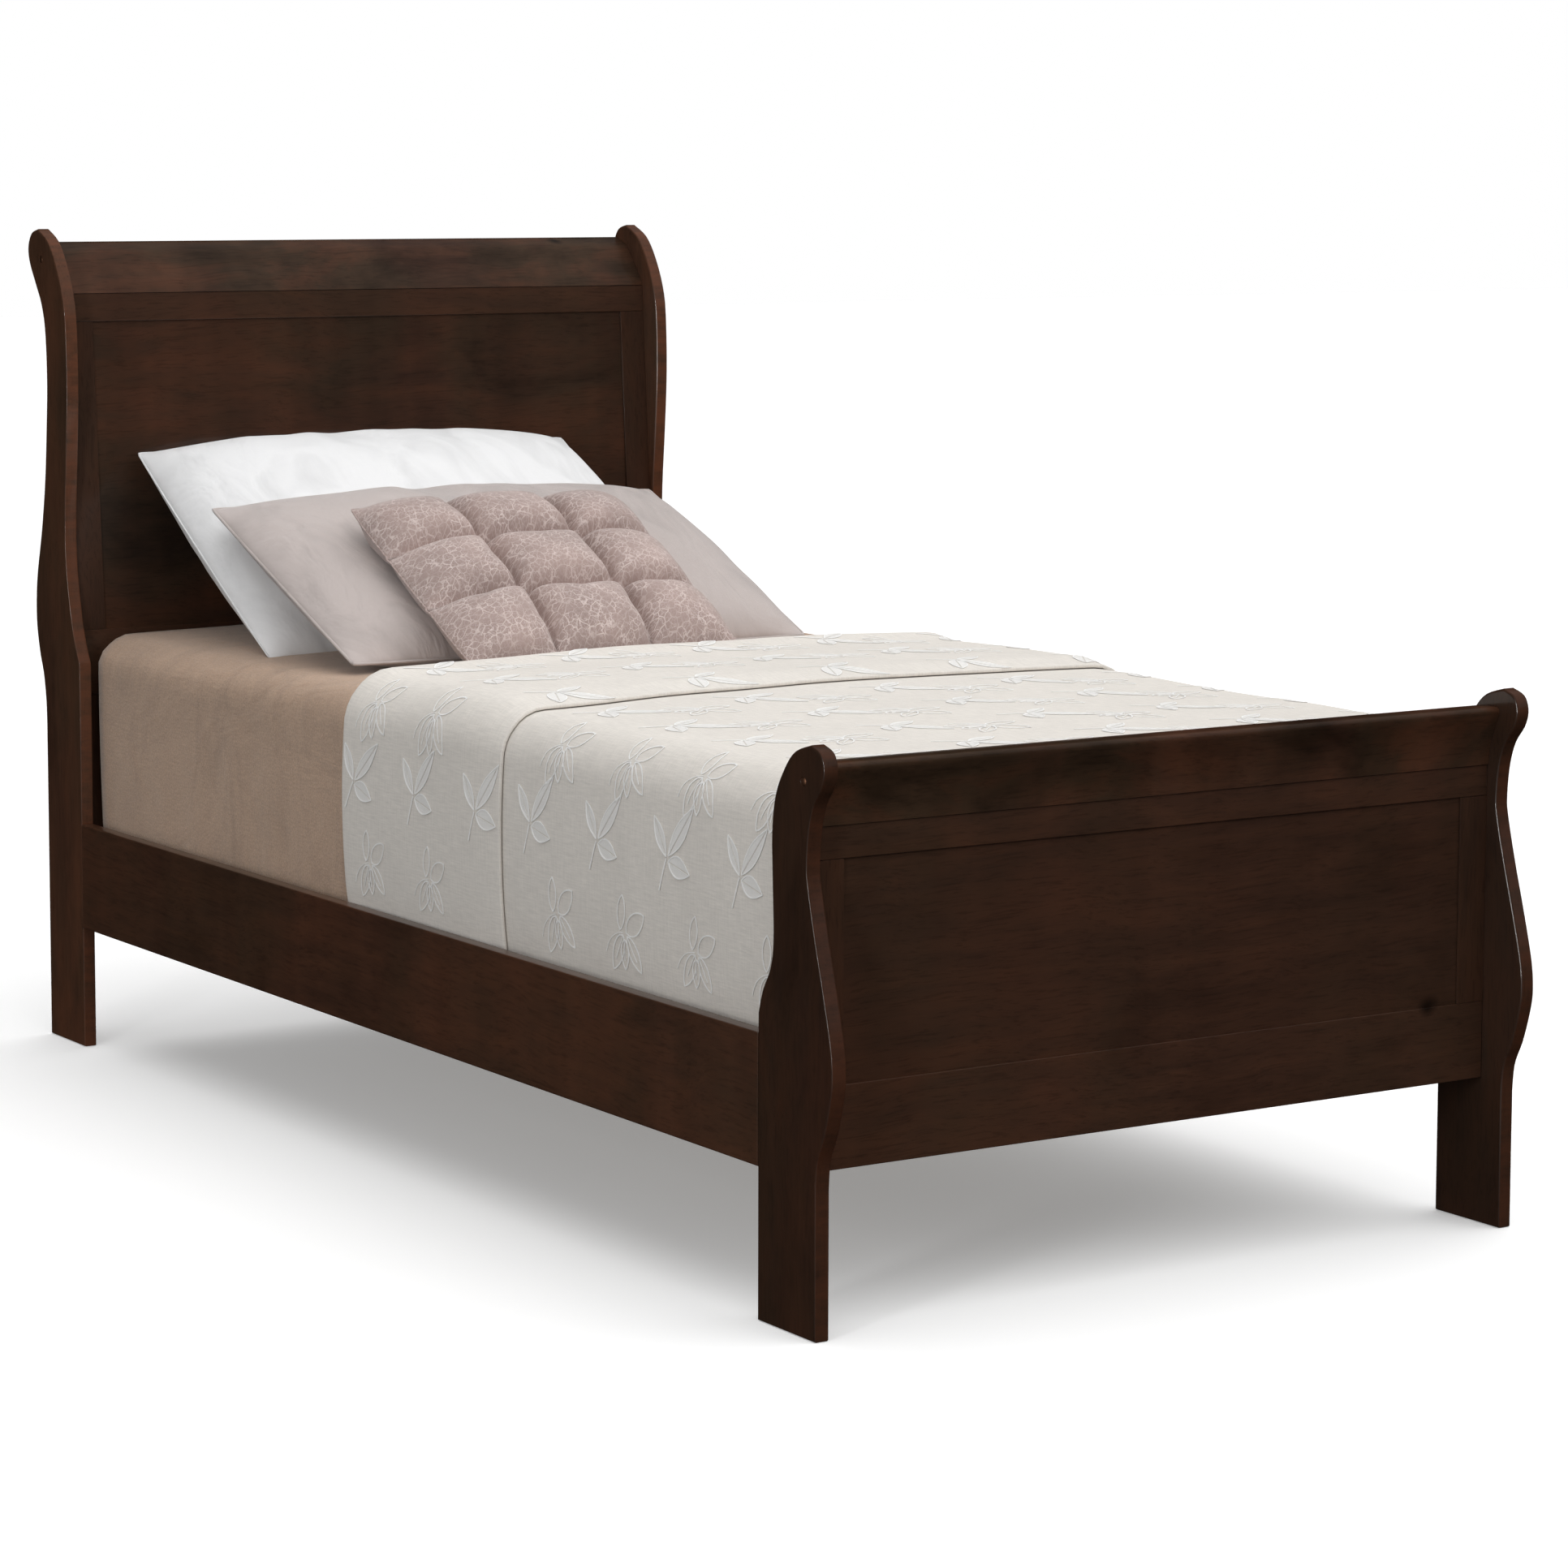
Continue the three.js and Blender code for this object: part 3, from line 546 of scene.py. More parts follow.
class Coverlet:
    """The coverlet as one cloth: from the tucked foot up the bed, round the fold, and back down on itself."""

    def __init__(self):
        sheet_low, sheet_high = (np.array(c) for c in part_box("fitted_sheet"))
        low, high = (np.array(c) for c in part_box("coverlet"))
        self.low = np.array([sheet_low[0], sheet_low[1], low[2]])
        self.high = np.array([sheet_high[0], high[1], sheet_high[2]])
        step = 0.0125
        across = spaced(self.low[0], self.high[0], step)
        up = spaced(self.low[2], self.high[2], step)
        self.section = [(self.low[0], z) for z in up] + [(x, self.high[2]) for x in across[1:-1]] \
            + [(self.high[0], z) for z in up[::-1]]
        self.across, self.up = across, up
        self.roll = 0.011
        self.turn = high[1] - FOLDED_BACK
        head = high[1] - self.roll
        # a row is its y, and how far round the fold it is, from 0 to 1
        self.rows = [(y, 1.0) for y in spaced(self.turn, head, step)]
        self.rows += [(head + self.roll * math.sin(math.pi * t), t) for t in np.linspace(1, 0, 9)[1:-1]]
        self.rows += [(y, 0.0) for y in spaced(head, self.low[1], step)]
        self.build()

    def build(self):
        columns = len(self.section)
        y, t = (np.repeat(values, columns) for values in zip(*self.rows))
        xz = np.tile(np.array(self.section), (len(self.rows), 1))
        base = np.stack([xz[:, 0], y, xz[:, 1]], 1)
        self.points = self.place(base, t)
        self.grid = self.points.reshape(len(self.rows), columns, 3)
        run = np.linalg.norm(np.diff(np.array(self.section), axis=0), axis=1)
        self.u = np.concatenate([[0], np.cumsum(run)])
        self.u -= self.u[-1] / 2
        middle = self.grid[:, columns // 2]
        self.v = np.concatenate([[0], np.cumsum(np.linalg.norm(np.diff(middle, axis=0), axis=1))])
        self.flat = np.stack([np.tile(self.u, len(self.rows)), np.repeat(self.v, columns)], 1)
        self.turned = np.array([t > 0.5 for _, t in self.rows])
        self.outward = np.cross(np.gradient(self.grid, axis=0), np.gradient(self.grid, axis=1))
        self.outward /= np.linalg.norm(self.outward, axis=2)[:, :, None]
        self.outward[self.turned] *= -1

    def lift(self, base, t, up):
        """How far the middle of the cloth stands off the sheet: up is 0 on the sides and 1 on the top."""
        along, height = base[:, 1], base[:, 2]
        from_head = self.high[1] - along
        belly = np.sin(math.pi * np.clip((height - 0.345) / (self.high[2] - 0.345), 0, 1)) ** 0.7
        on_side = 0.0045 + 0.0085 * belly
        on_top = 0.0065 + 0.0068 * smoothstep(0.02, 0.30, from_head)
        lower = on_side * (1 - up) + on_top * up
        # the turned-back layer lies close at its hem, fuller in the middle, and fullest round the fold
        full = 0.0105 * (1 - up) + 0.0145 * up
        rise = 0.0068 + (full - 0.0068) * smoothstep(0.0, 0.06, along - self.turn)
        rise += (0.0145 * (1 - up) + 0.0225 * up - full) * smoothstep(0.07, 0.0, from_head)
        share = (1 - np.cos(math.pi * t)) / 2
        lift = lower + rise * share
        free = smoothstep(0.335, 0.375, height)
        waves = ripple(base * (1.0, 1.0, 0.35), 5.5, SEED + 3) * 0.0028 * (0.35 + 0.65 * up)
        folds = ripple(base * (1.0, 1.0, 0.12), 17.0, SEED + 4) * 0.0015 * (1 - up)
        lift = lift + (waves + folds) * free
        inside_rail = RAIL_INSIDE - self.high[0] - COVER_THICK / 2 - RAIL_GAP
        inside_rail = inside_rail - (1 - share) * (COVER_THICK + LAYER_GAP)
        return np.where(height < TUCKED_BELOW, np.minimum(lift, inside_rail), lift)

    def place(self, base, t):
        _, out = wrap(base, self.low, self.high, CORNER, 0.0, open_head=True)
        lift = self.lift(base, t, out[:, 2])
        placed, _ = wrap(base, self.low, self.high, CORNER, lift, open_head=True)
        placed[:, 2] += crown(placed, self.low, self.high)
        return placed

    def foot_end(self, known):
        """The flap tucked down between the mattress and the foot end, sharing the last row's points."""
        points, faces = [], []

        def index(x, z):
            key = (round(x, 5), round(z, 5))
            if key not in known:
                known[key] = len(self.points) + len(points)
                points.append((x, self.low[1], z))
            return known[key]

        xs, zs = self.across, self.up
        for i in range(len(xs) - 1):
            for j in range(len(zs) - 1):
                faces.append([index(xs[p], zs[q]) for p, q in cell(i, j)])
        return np.array(points), faces

    def make(self):
        columns = len(self.section)
        start = (len(self.rows) - 1) * columns
        known = {(round(x, 5), round(z, 5)): start + i for i, (x, z) in enumerate(self.section)}
        flap, flap_faces = self.foot_end(known)
        placed = self.place(flap, np.zeros(len(flap)))
        points = np.concatenate([self.points, placed])
        flap_flat = np.stack([flap[:, 0], self.v[-1] + self.high[2] - flap[:, 2]], 1)
        faces = [f[::-1] for f in grid_faces(len(self.rows), columns)] + flap_faces
        linen = woven("ivory_linen", (0.700, 0.662, 0.612), 900, 0.82, slub=0.07, sheen=0.12, fine=0.075)
        piece = mesh_piece("coverlet_cloth", points, faces, linen, MATTRESS_BODY,
                           np.concatenate([self.flat, flap_flat]))
        modifier(piece, "SOLIDIFY", thickness=COVER_THICK, offset=0.0)
        modifier(piece, "BEVEL", width=0.0019, segments=2, limit_method="ANGLE", angle_limit=math.radians(60))
        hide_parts("coverlet")
        drop = self.high[2] - self.low[2]
        cut = (self.u[-1] - self.u[0], self.v[-1] + drop)
        return piece, cut, cut[0] * cut[1] - 2 * drop ** 2

    def row_at(self, y, turned):
        """The flat coordinate along the cloth where one of its two layers passes y."""
        middle = self.grid[:, len(self.section) // 2, 1]
        pick = np.flatnonzero(self.turned == turned)
        pick = pick[np.argsort(middle[pick])]
        return float(np.interp(y, middle[pick], self.v[pick]))

    def at(self, flat, lift):
        """Places on the cloth for flat coordinates, standing off the face that shows by lift."""
        i = np.interp(flat[:, 0], self.u, np.arange(len(self.u)))
        j = np.interp(flat[:, 1], self.v, np.arange(len(self.v)))
        i0 = np.clip(i.astype(int), 0, len(self.u) - 2)
        j0 = np.clip(j.astype(int), 0, len(self.v) - 2)
        a, b = (i - i0)[:, None], (j - j0)[:, None]
        skin = self.grid + self.outward * (COVER_THICK / 2 + lift)
        low = skin[j0, i0] * (1 - a) + skin[j0, i0 + 1] * a
        high = skin[j0 + 1, i0] * (1 - a) + skin[j0 + 1, i0 + 1] * a
        return low * (1 - b) + high * b


# ---- embroidery
# A motif is a list of strips: a pair of lines (left, right), and 0 if it is a filling or 1 if a thread.
# Its x runs up the motif and its y to its right, both in metres.
def turned(points, angle, move=(0.0, 0.0)):
    c, s = math.cos(angle), math.sin(angle)
    return np.asarray(points) @ np.array([[c, s], [-s, c]]) + np.array(move)


def thread_line(points, width):
    """A stitched line of constant width along points."""
    points = np.asarray(points, float)
    ahead = np.gradient(points, axis=0)
    ahead /= np.maximum(np.linalg.norm(ahead, axis=1), 1e-9)[:, None]
    side = np.stack([-ahead[:, 1], ahead[:, 0]], 1) * width / 2
    return [(points - side, points + side, 1)]


def curve_line(start, bend, end, count=9):
    t = np.linspace(0, 1, count)[:, None]
    start, bend, end = (np.array(p, float) for p in (start, bend, end))
    return (1 - t) ** 2 * start + 2 * t * (1 - t) * bend + t ** 2 * end


def leaf_ring(root, tip, width, blunt, taper):
    """A leaf's places along and half-widths: blunt moves the widest place to the tip, taper sharpens it."""
    root, tip = np.array(root, float), np.array(tip, float)
    length = np.linalg.norm(tip - root)
    t = np.linspace(0, 1, 11)
    half = width / 2 * np.sin(math.pi * t ** blunt) ** taper
    angle = math.atan2(tip[1] - root[1], tip[0] - root[0])
    return t * length, half, angle, root


def outlined(root, tip, width, blunt=1.0, thread=0.0018, vein=True, taper=0.7):
    t, half, angle, root = leaf_ring(root, tip, width, blunt, taper)
    ring = np.concatenate([np.stack([t, half], 1), np.stack([t, -half], 1)[::-1]])
    strips = thread_line(turned(ring, angle, root), thread)
    if vein:
        spine = np.stack([t[:8], 0.06 * half[:8]], 1)
        strips += thread_line(turned(spine, angle, root), thread * 0.7)
    return strips


def filled(root, tip, width, blunt=1.0, vein=0.0009):
    """A leaf stitched solid in two halves, either side of a bare vein, inside an outline."""
    t, half, angle, place = leaf_ring(root, tip, width, blunt, 0.95)
    strips = []
    for side in (1, -1):
        edge = np.stack([t, side * half], 1)
        spine = np.stack([t, side * np.minimum(vein, half * 0.4)], 1)
        strips.append((turned(spine, angle, place), turned(edge, angle, place), 0))
    return strips + outlined(root, tip, width, blunt, 0.0015, vein=False, taper=0.95)


def leaf_sprig():
    """Two long leaves and a blunt one on a stem."""
    strips = thread_line(curve_line((-0.038, -0.020), (-0.018, -0.010), (0.000, 0.000)), 0.0022)
    strips += filled((0.002, 0.000), (0.051, -0.024), 0.019)
    strips += filled((0.003, 0.005), (0.060, 0.065), 0.022, 0.9)
    strips += filled((-0.004, 0.004), (-0.020, 0.050), 0.026, 0.8)
    return strips


def hanging_spray():
    """Three hanging pods under two open leaves, all in outline."""
    strips = outlined((0.002, -0.011), (0.046, -0.005), 0.018, vein=False)
    strips += outlined((0.001, 0.004), (0.029, 0.044), 0.025, 0.9, vein=False)
    strips += outlined((-0.003, -0.004), (-0.049, -0.030), 0.023, 0.8)
    strips += outlined((-0.008, 0.000), (-0.045, -0.001), 0.018, 0.8)
    strips += outlined((-0.003, 0.006), (-0.042, 0.036), 0.020, 0.9)
    strips += thread_line(curve_line((0.000, -0.004), (-0.004, -0.036), (-0.030, -0.045)), 0.0012)
    return strips


MOTIF_PITCH, MOTIF_ROWS = 0.170, 0.108
FIRST_ROW = 0.088  # from the hem on the left side up to the first row of motifs


def make_embroidery(cover):
    """Rows of sprigs and sprays over all of the coverlet that shows."""
    filling = woven("embroidery_filling", (0.83, 0.815, 0.79), 2600, 0.6, sheen=0.1, fine=0.04)
    thread = woven("embroidery_thread", (0.95, 0.945, 0.935), 2600, 0.6, sheen=0.1, fine=0.0)
    rng = random.Random(SEED)
    points, faces, flat, kinds = [], [], [], []
    count = 0
    foot = cover.low[1] + 0.04
    for layer_turned, sprig_start, spray_start, end in (
            (True, 0.082, 0.040, cover.turn + 0.03), (False, -0.387, -0.455, foot)):
        away = -1 if layer_turned else 1
        for row in range(round((2 * cover.u[-1] - 2 * FIRST_ROW) / MOTIF_ROWS) + 1):
            sprig = row % 2 == 1
            y = sprig_start if sprig else spray_start
            while y > end:
                across = cover.u[0] + FIRST_ROW + row * MOTIF_ROWS
                along = cover.row_at(y, layer_turned)
                angle = math.radians(rng.uniform(-8, 8))
                size = rng.uniform(0.96, 1.05)
                for left, right, kind in leaf_sprig() if sprig else hanging_spray():
                    both = np.concatenate([turned(np.asarray(line) * size, angle) for line in (left, right)])
                    both = both * (1, away) + (across, along)
                    n = len(left)
                    points.append(cover.at(both, 0.0004 + 0.0005 * kind))
                    flat.append(both)
                    faces += grid_faces(2, n, count)
                    kinds += [kind] * (n - 1)
                    count += 2 * n
                y -= MOTIF_PITCH
    piece = mesh_piece("coverlet_embroidery", np.concatenate(points), faces, filling, MATTRESS_BODY,
                       np.concatenate(flat))
    piece.data.materials.append(thread)
    piece.data.polygons.foreach_set("material_index", kinds)
    piece.data.polygons.foreach_set("use_smooth", [False] * len(faces))
    modifier(piece, "SOLIDIFY", thickness=0.0005, offset=0.0)
    return piece


# ---- pillows
def case_grid(width, height, spacing, sewn_x=(), sewn_y=()):
    """Two layers of cloth sewn together along the edge, and along any lines given as shares of the size."""
    nx, ny = round(width / spacing), round(height / spacing)
    lines_x = {round(nx * s) for s in sewn_x}
    lines_y = {round(ny * s) for s in sewn_y}
    points, flat, index = [], [], {}
    for layer in (1, -1):
        for j in range(ny + 1):
            for i in range(nx + 1):
                edge = i in (0, nx) or j in (0, ny)
                sewn = edge or i in lines_x or j in lines_y
                if sewn and layer < 0:
                    index[i, j, layer] = index[i, j, 1]
                    continue
                u, v = 2 * i / nx - 1, 2 * j / ny - 1
                lift = 0.0 if sewn else 0.012 * math.sqrt(max(0.0, (1 - u ** 4) * (1 - v ** 4))) + 0.001
                index[i, j, layer] = len(points)
                points.append((u * width / 2, v * height / 2, layer * lift))
                flat.append(((u + 0.001) * width / 2 + (0 if layer > 0 else width + 0.1), v * height / 2))
    faces = []
    for layer in (1, -1):
        for j in range(ny):
            for i in range(nx):
                ring = [index[p, q, layer] for p, q in cell(i, j)]
                faces.append(ring if layer > 0 else ring[::-1])
    edge = [index[i, 0, 1] for i in range(nx)] + [index[nx, j, 1] for j in range(ny)] \
        + [index[i, ny, 1] for i in range(nx, 0, -1)] + [index[0, j, 1] for j in range(ny, 0, -1)]
    upper = {index[i, j, 1] for i in range(nx + 1) for j in range(ny + 1)}
    return np.array(points), faces, np.array(flat), edge, upper


def finished_points(piece):
    """The places of a piece's points once its modifiers have run; the drawn points come first."""
    done = piece.evaluated_get(bpy.context.evaluated_depsgraph_get()).to_mesh()
    places = np.zeros(len(done.vertices) * 3)
    done.vertices.foreach_get("co", places)
    world = np.array(piece.matrix_world)
    return places.reshape(-1, 3) @ world[:3, :3].T + world[:3, 3]


def inflate(points, faces, pressure, stiffness, bending, frames):
    """Cloth simulation of a sewn case filling out; returns the points at the end."""
    mesh = bpy.data.meshes.new("case")
    mesh.from_pydata([tuple(p) for p in points], [], faces)
    case = added("case", mesh)
    cloth = modifier(case, "CLOTH")
    settings = dict(quality=6, mass=0.15, tension_stiffness=stiffness, compression_stiffness=stiffness,
                    shear_stiffness=stiffness * 0.5, bending_stiffness=bending, air_damping=2.0,
                    use_pressure=True, uniform_pressure_force=pressure)
    for key, value in settings.items():
        setattr(cloth.settings, key, value)
    cloth.settings.effector_weights.gravity = 0.0
    cloth.point_cache.frame_start, cloth.point_cache.frame_end = 1, frames
    for step in range(1, frames + 1):
        bpy.context.scene.frame_set(step)
    filled_out = finished_points(case)
    bpy.data.objects.remove(case)
    bpy.data.meshes.remove(mesh)
    bpy.context.scene.frame_set(1)
    return filled_out


def from_middle(points, width, height):
    """How far each point of a flat case is from its middle, 0 there and 1 at the seams, each way."""
    return np.clip(np.abs(points[:, :2]) / (width / 2, height / 2), 0, 1).T


def lens(points, width, height, depth):
    """A plain filled shape, full towards its seams and thin at its corners."""
    u, v = from_middle(points, width, height)
    full = np.sqrt((1 - u ** 3.4) * (1 - v ** 3.4)) * (1 - 0.3 * (u * v) ** 2)
    shaped = points.copy()
    shaped[:, 2] = np.sign(points[:, 2]) * full * depth / 2
    return shaped


def along_seam(values, seam, place):
    """Values of a seam's points, carried across the case to every point's place along that seam."""
    order = np.argsort(place[seam])
    return np.interp(place, place[seam][order], values[seam][order])


def fitted(points, flat_case, width, height, depth, square, bulge, corner):
    """Bring a filled case to the size of its place: square evens the drawn-in edges, bulge bows them out."""
    u = flat_case[:, 0] / np.abs(flat_case[:, 0]).max()
    v = flat_case[:, 1] / np.abs(flat_case[:, 1]).max()
    centred = points - (points.max(0) + points.min(0)) / 2
    centred = centred * (np.array([width, height, depth]) / np.ptp(points, axis=0))
    straight = centred.copy()
    for axis, (own, other, size) in enumerate(((u, v, width), (v, u, height))):
        seam_low, seam_high, lift_low, lift_high = (
            along_seam(centred[:, k], seam, other)
            for k in (axis, 2) for seam in (own < -0.9999, own > 0.9999))
        target = size / 2 * (1 - bulge + bulge * (1 - other ** 2)) * (1 - corner * np.abs(u * v) ** 7)
        share = (centred[:, axis] - seam_low) / (seam_high - seam_low)
        straight[:, axis] = (2 * share - 1) * target
        # the seam lies flat too, and what is near it follows
        straight[:, 2] -= lift_low * smoothstep(0.4, 0.0, 1 + own) + lift_high * smoothstep(0.4, 0.0, 1 - own)
    return centred + square * (straight - centred)


def lean(points, node, rise):
    """Set a pillow, drawn flat, in the place of its CAD node."""
    low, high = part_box(node)
    turn = np.array(Matrix.Rotation(rise, 3, "X"))
    return points @ turn.T + np.array((low + high) / 2)


def surface_tree(piece):
    return BVHTree.FromObject(piece, bpy.context.evaluated_depsgraph_get())


def pushed_off(points, tree, gap, reach=0.12):
    """Move the points that are inside a piece, or nearer than gap, out to its surface."""
    moved = points.copy()
    for k, p in enumerate(points):
        near, normal, _, distance = tree.find_nearest(Vector(p), reach)
        if near is None:
            continue
        inside = (Vector(p) - near).dot(normal) < 0
        if inside or distance < gap:
            moved[k] = near + normal * gap
    return moved


def relaxed(points, faces, rounds, share=0.5, keep=()):
    """Even out a surface by moving each point towards its neighbours."""
    edges = np.array([(f[i], f[(i + 1) % 4]) for f in faces for i in range(4)])
    count = np.bincount(edges.ravel(), minlength=len(points))[:, None]
    held = np.zeros(len(points), bool)
    held[list(keep)] = True
    for _ in range(rounds):
        total = np.zeros_like(points)
        np.add.at(total, edges[:, 0], points[edges[:, 1]])
        np.add.at(total, edges[:, 1], points[edges[:, 0]])
        target = points + share * (total / np.maximum(count, 1) - points)
        points = np.where(held[:, None], points, target)
    return points


def rest_on_headboard(points, gap=0.003):
    """Flatten what would sink into the leaning headboard."""
    low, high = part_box("head_panel")
    slope = (high.y - low.y - PANEL_DEPTH) / (high.z - low.z)
    face = low.y - 0.004 + slope * (points[:, 2] - low.z) - gap
    settled = points.copy()
    settled[:, 1] = np.minimum(points[:, 1], face)
    return settled


PANEL_DEPTH = 0.010
PILLOWS = (
    # size is across, up and through; rise is the slope in degrees; pressure to stiffness set the filling
    # out; square, bulge and corner the outline; soften and creases how smooth the case is
    dict(name="pillow_white_case", node="pillow_white", body="white_pillow", slot="white_cotton",
         size=(0.770, 0.540, 0.185), rise=31.5, fill=0.7, pressure=4.5, bending=0.8, stiffness=16,
         square=0.98, bulge=0.03, corner=0.02, soften=8, creases=0.75),
    dict(name="pillow_taupe_sham", node="pillow_taupe", body="taupe_pillow", slot="taupe_satin",
         size=(0.775, 0.503, 0.138), rise=22.7, fill=0.55, pressure=3.5, bending=0.5, stiffness=22,
         square=1.0, bulge=0.01, corner=0.008, soften=8, creases=0.9),
    dict(name="cushion_tufted_cover", node="cushion_tufted", body="tufted_cushion", slot="mauve_fabric",
         size=(0.462, 0.425, 0.132), rise=28.1, fill=0.65, pressure=7.0, bending=0.4, stiffness=14,
         square=0.98, bulge=0.01, corner=0.006, soften=4, creases=0.6),
)
CELL = 0.0105  # spacing of the points of a filled case
SIM_FRAMES = 24
TUFT_CORE = 0.017  # filling that the cushion has beyond what the simulation blows out
PLAIN_MIDDLE, PLAIN_EDGE = 0.45, 0.40  # share of the plain shape in a pillow, and how much more at its seams
REST_GAP = 0.0012  # between a pillow and what it lies on


def filled_case(spec, rng_seed):
    width, height, depth = spec["size"]
    tufted = spec["node"] == "cushion_tufted"
    sewn = dict(sewn_x=(1 / 3, 2 / 3), sewn_y=(1 / 3, 2 / 3)) if tufted else {}
    spacing = CELL * (0.72 if tufted else 1.0)
    points, faces, flat, edge, upper = case_grid(width, height, spacing, **sewn)
    # slight irregularity, so that the cloth buckles into creases instead of staying even
    jitter = ripple(points, 28.0, rng_seed) * 0.0022
    points[:, 2] += jitter * (np.abs(points[:, 2]) > 1e-5)
    shaped = inflate(points, faces, spec["pressure"], spec["stiffness"], spec["bending"], SIM_FRAMES)
    u, v = from_middle(points, width, height)
    if tufted:
        core = TUFT_CORE * np.sqrt((1 - u ** 4) * (1 - v ** 4))
        side = np.array([1.0 if k in upper else -1.0 for k in range(len(points))])
        shaped[:, 2] += core * side
        shaped[:, 2] *= np.sqrt((1 - u ** 10) * (1 - v ** 10))
    shaped = fitted(shaped, points, width, height, depth, spec["square"], spec["bulge"], spec["corner"])
    if not tufted:
        # well filled cases are plain and full towards their seams
        plain = lens(points, width, height, depth)
        share = PLAIN_MIDDLE + PLAIN_EDGE * smoothstep(0.5, 0.0, 1 - np.maximum(u, v))
        shaped += (plain - shaped) * share[:, None]
    even = relaxed(shaped, faces, spec["soften"], 0.5, edge)
    # the creases of the filling stay in the middle, and fade towards the seams
    middle = smoothstep(0.0, 0.35, 1 - np.maximum(u, v))
    shaped = even + (shaped - even) * (spec["creases"] * middle)[:, None]
    return relaxed(shaped, faces, 1, 0.5, edge), faces, flat, edge


def make_pillows(sheet):
    supports = [surface_tree(sheet)]
    # folds darkens the cases along their creases as painted shade
    looks = {
        "pillow_white": woven("white_cotton", (0.83, 0.83, 0.835), 1900, 0.75, sheen=0.15, fine=0.015,
                              folds=0.38),
        "pillow_taupe": woven("taupe_satin", (0.565, 0.493, 0.468), 2400, 0.42, sheen=0.5, fine=0.03,
                              folds=0.55),
        "cushion_tufted": crackle_cloth("mauve_crackle", (0.385, 0.285, 0.258), (0.74, 0.63, 0.60)),
    }
    for k, spec in enumerate(PILLOWS):
        points, faces, flat, edge = filled_case(spec, SEED + 10 + k)
        points = lean(points, spec["node"], math.radians(spec["rise"]))
        for _ in range(3):
            for tree in supports:
                points = pushed_off(points, tree, REST_GAP + 0.0003)
            if spec["node"] == "pillow_white":
                points = rest_on_headboard(points)
            points = relaxed(points, faces, 1, 0.25, edge)
        for tree in supports:
            points = pushed_off(points, tree, REST_GAP)
        piece = mesh_piece(spec["name"], points, faces, looks[spec["node"]], spec["body"], flat)
        modifier(piece, "SUBSURF", levels=1, render_levels=1)
        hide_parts(spec["node"])
        # the next one lies on this one and on the mattress
        supports = [surface_tree(piece), supports[-1]]
        seam = finished_points(piece)[edge]
        radius = 0.0024 if spec["node"] == "pillow_taupe" else 0.0016
        tube(spec["node"] + "_seam", seam, radius, looks[spec["node"]], spec["body"], 6)


# ---- camera, floor and light
def make_camera():
    """The photograph's view: from the left of the foot end, a little above the bed, through a long lens."""
    place = Vector((-3.347, -5.379, 1.379))
    yaw, pitch, roll = (math.radians(a) for a in (32.861, 6.203, 0.161))
    data = bpy.data.cameras.new("camera")
    camera = added("camera", data)
    camera.matrix_world = (Matrix.Translation(place) @ Matrix.Rotation(-yaw, 4, "Z")
                           @ Matrix.Rotation(math.pi / 2 - pitch, 4, "X") @ Matrix.Rotation(roll, 4, "Z"))
    data.sensor_width = 36.0
    data.lens = 102.87
    data.shift_y = -0.0901
    data.clip_end = 60.0
    bpy.context.scene.camera = camera


def lamp(name, kind, mirrored, **settings):
    """A light that is mirrored by lacquer or isn't."""
    data = bpy.data.lights.new(name, kind)
    for key, value in settings.items():
        setattr(data, key, value)
    light = added(name, data)
    light.visible_glossy = mirrored
    return light


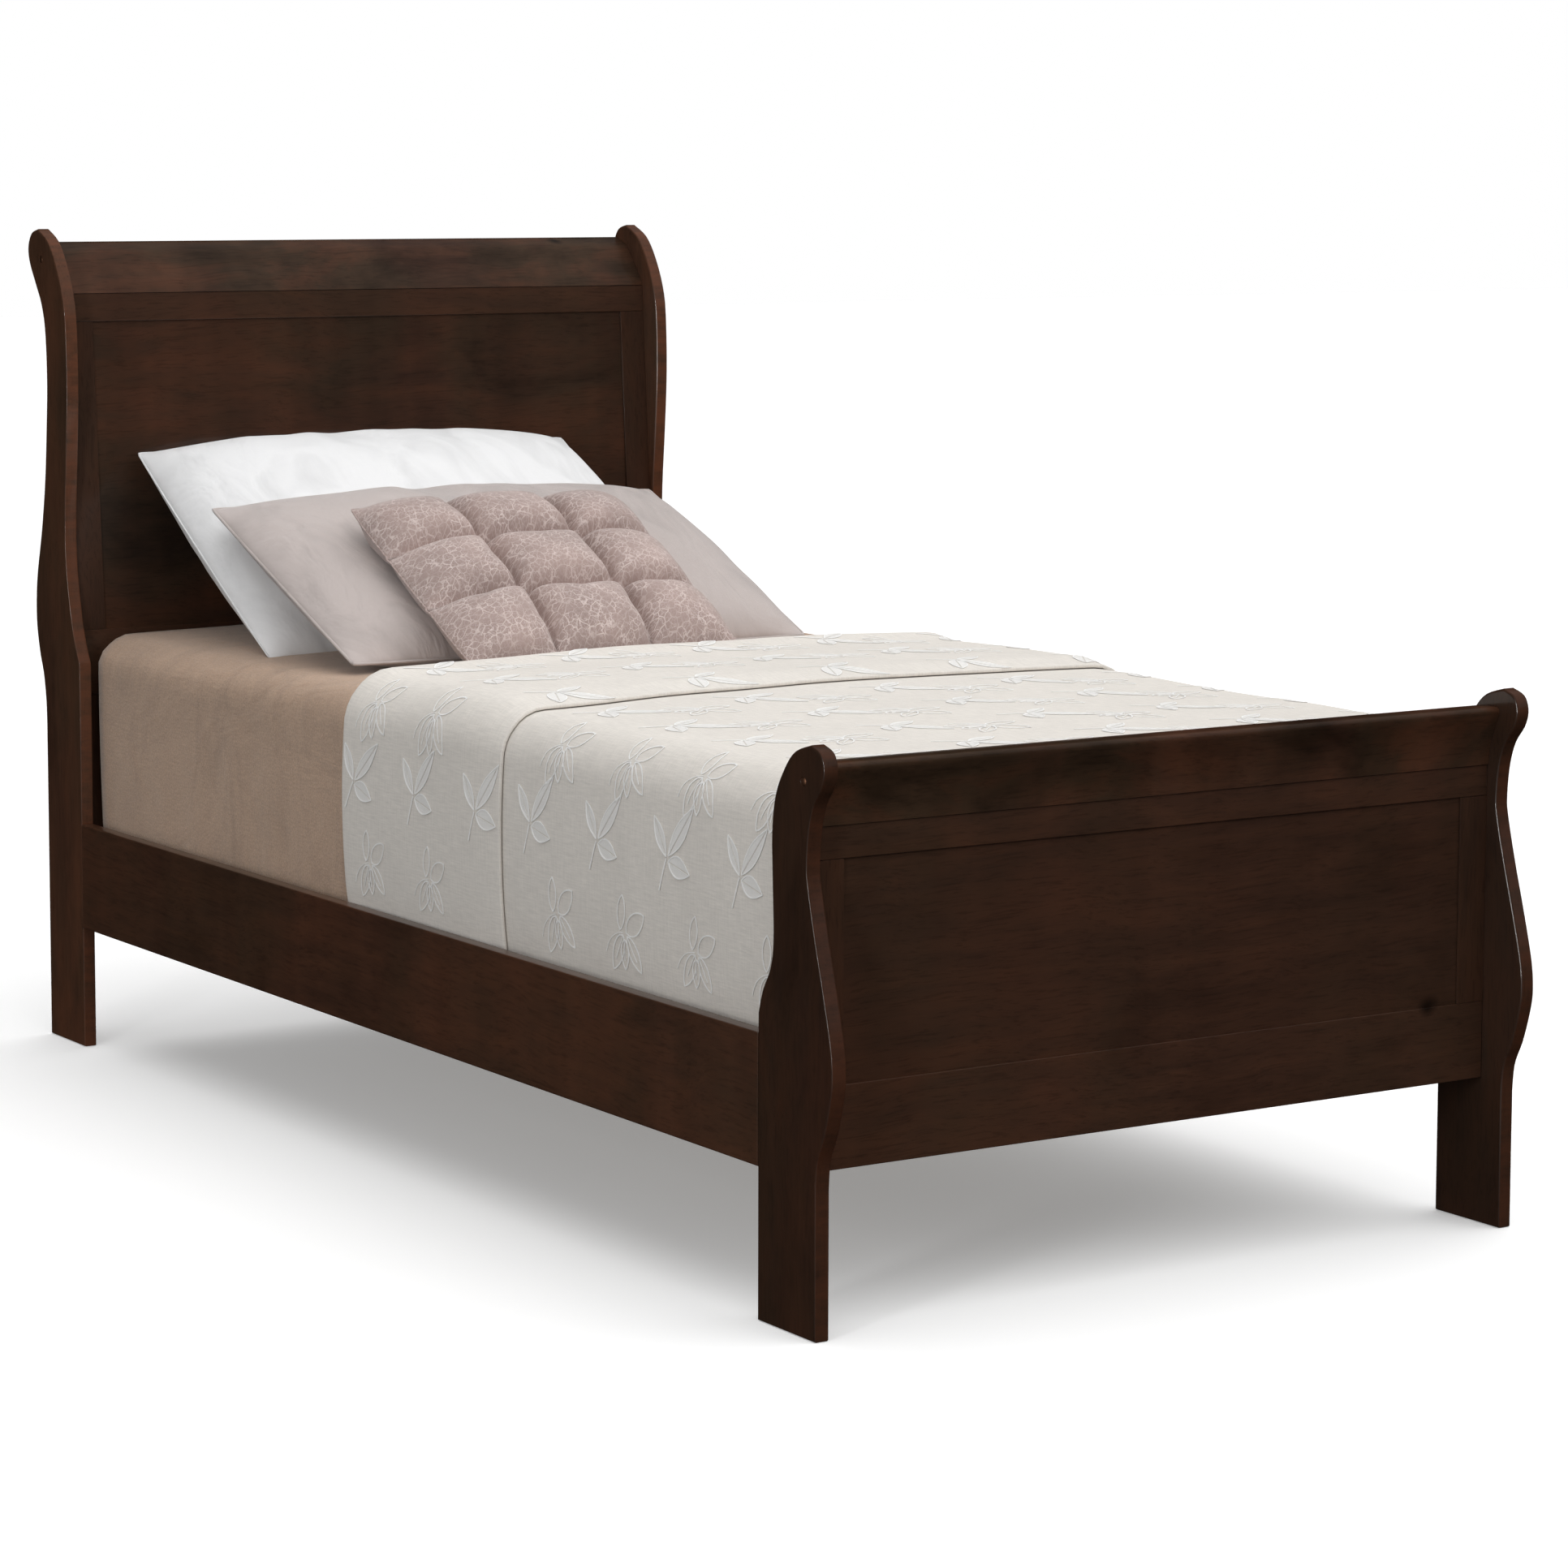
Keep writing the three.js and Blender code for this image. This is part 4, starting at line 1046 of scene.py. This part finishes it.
def make_backdrop():
    """White behind the bed; its light on the bed is softer, and stronger from above than from below."""
    world = bpy.data.worlds.new("studio")
    nodes = Nodes(world)
    background = nodes.tree.nodes["Background"]
    direction = nodes.node("ShaderNodeTexCoord").outputs["Generated"]
    height = nodes.node("ShaderNodeSeparateXYZ", ((0, direction),)).outputs[2]
    limits = (("From Min", -0.5), ("From Max", 0.5), ("To Min", 0.12), ("To Max", 0.45))
    level = nodes.node("ShaderNodeMapRange", limits + (("Value", height),)).outputs[0]
    seen = nodes.node("ShaderNodeLightPath").outputs["Is Camera Ray"]
    strength = nodes.node("ShaderNodeMix", (("Factor", seen), ("A", level), ("B", 1.0)))
    nodes.link((1, 1, 1, 1), background.inputs[0])
    nodes.link(strength.outputs["Result"], background.inputs[1])
    world.cycles_visibility.glossy = False
    bpy.context.scene.world = world


def make_studio():
    floor_shader = Shader("studio_floor", 0.55, Emission_Color=(1, 1, 1, 1), Emission_Strength=0.22)
    tone = floor_shader.noise(floor_shader.coords(), 1.5, 2.0)
    floor_material = floor_shader.finish(floor_shader.ramp(tone, (0.3, 0.955), (0.7, 0.97)))
    mesh = bpy.data.meshes.new("floor")
    reach = 30.0
    corners = ((-reach, -reach), (reach, -reach), (reach, reach), (-reach, reach))
    mesh.from_pydata([(x, y, -0.0005) for x, y in corners], [], [(0, 1, 2, 3)])
    mesh.materials.append(floor_material)
    floor = added("floor", mesh)
    make_backdrop()
    # the floor and the backdrop don't show in the lacquer, as on a bed lit against dark studio walls
    floor.visible_glossy = False
    floor.visible_diffuse = False
    bpy.context.scene.view_settings.view_transform = "Standard"
    # most of the overhead light comes from a source that the lacquer doesn't mirror
    for name, energy, mirrored in (("overhead", 2.15, False), ("overhead_sheen", 0.4, True)):
        light = lamp(name, "SUN", mirrored, energy=energy, angle=math.radians(110))
        light.rotation_euler = Vector((0.34, -0.22, 0.92)).to_track_quat("Z", "Y").to_euler()
    # beside the bed, one light only lights and the other is only mirrored
    place, target = Vector((-5.2, -3.2, 1.5)), Vector((0, 0, 0.6))
    for name, wide, tall, power, mirrored in (
            ("side_fill", 0.6, 2.6, 66, False), ("edge_strip", 0.25, 3.0, 480, True)):
        light = lamp(name, "AREA", mirrored, shape="RECTANGLE", size=wide, size_y=tall, energy=power)
        light.location = place
        light.rotation_euler = (target - place).to_track_quat("-Z", "Y").to_euler()
        light.visible_diffuse = not mirrored


# ---- build
make_camera()
make_studio()
dress_frame()
make_mattress()
fitted_sheet = make_sheet()
cover = Coverlet()
cover_piece, cover_cut, cover_area = cover.make()
embroidery = make_embroidery(cover)
make_pillows(fitted_sheet)
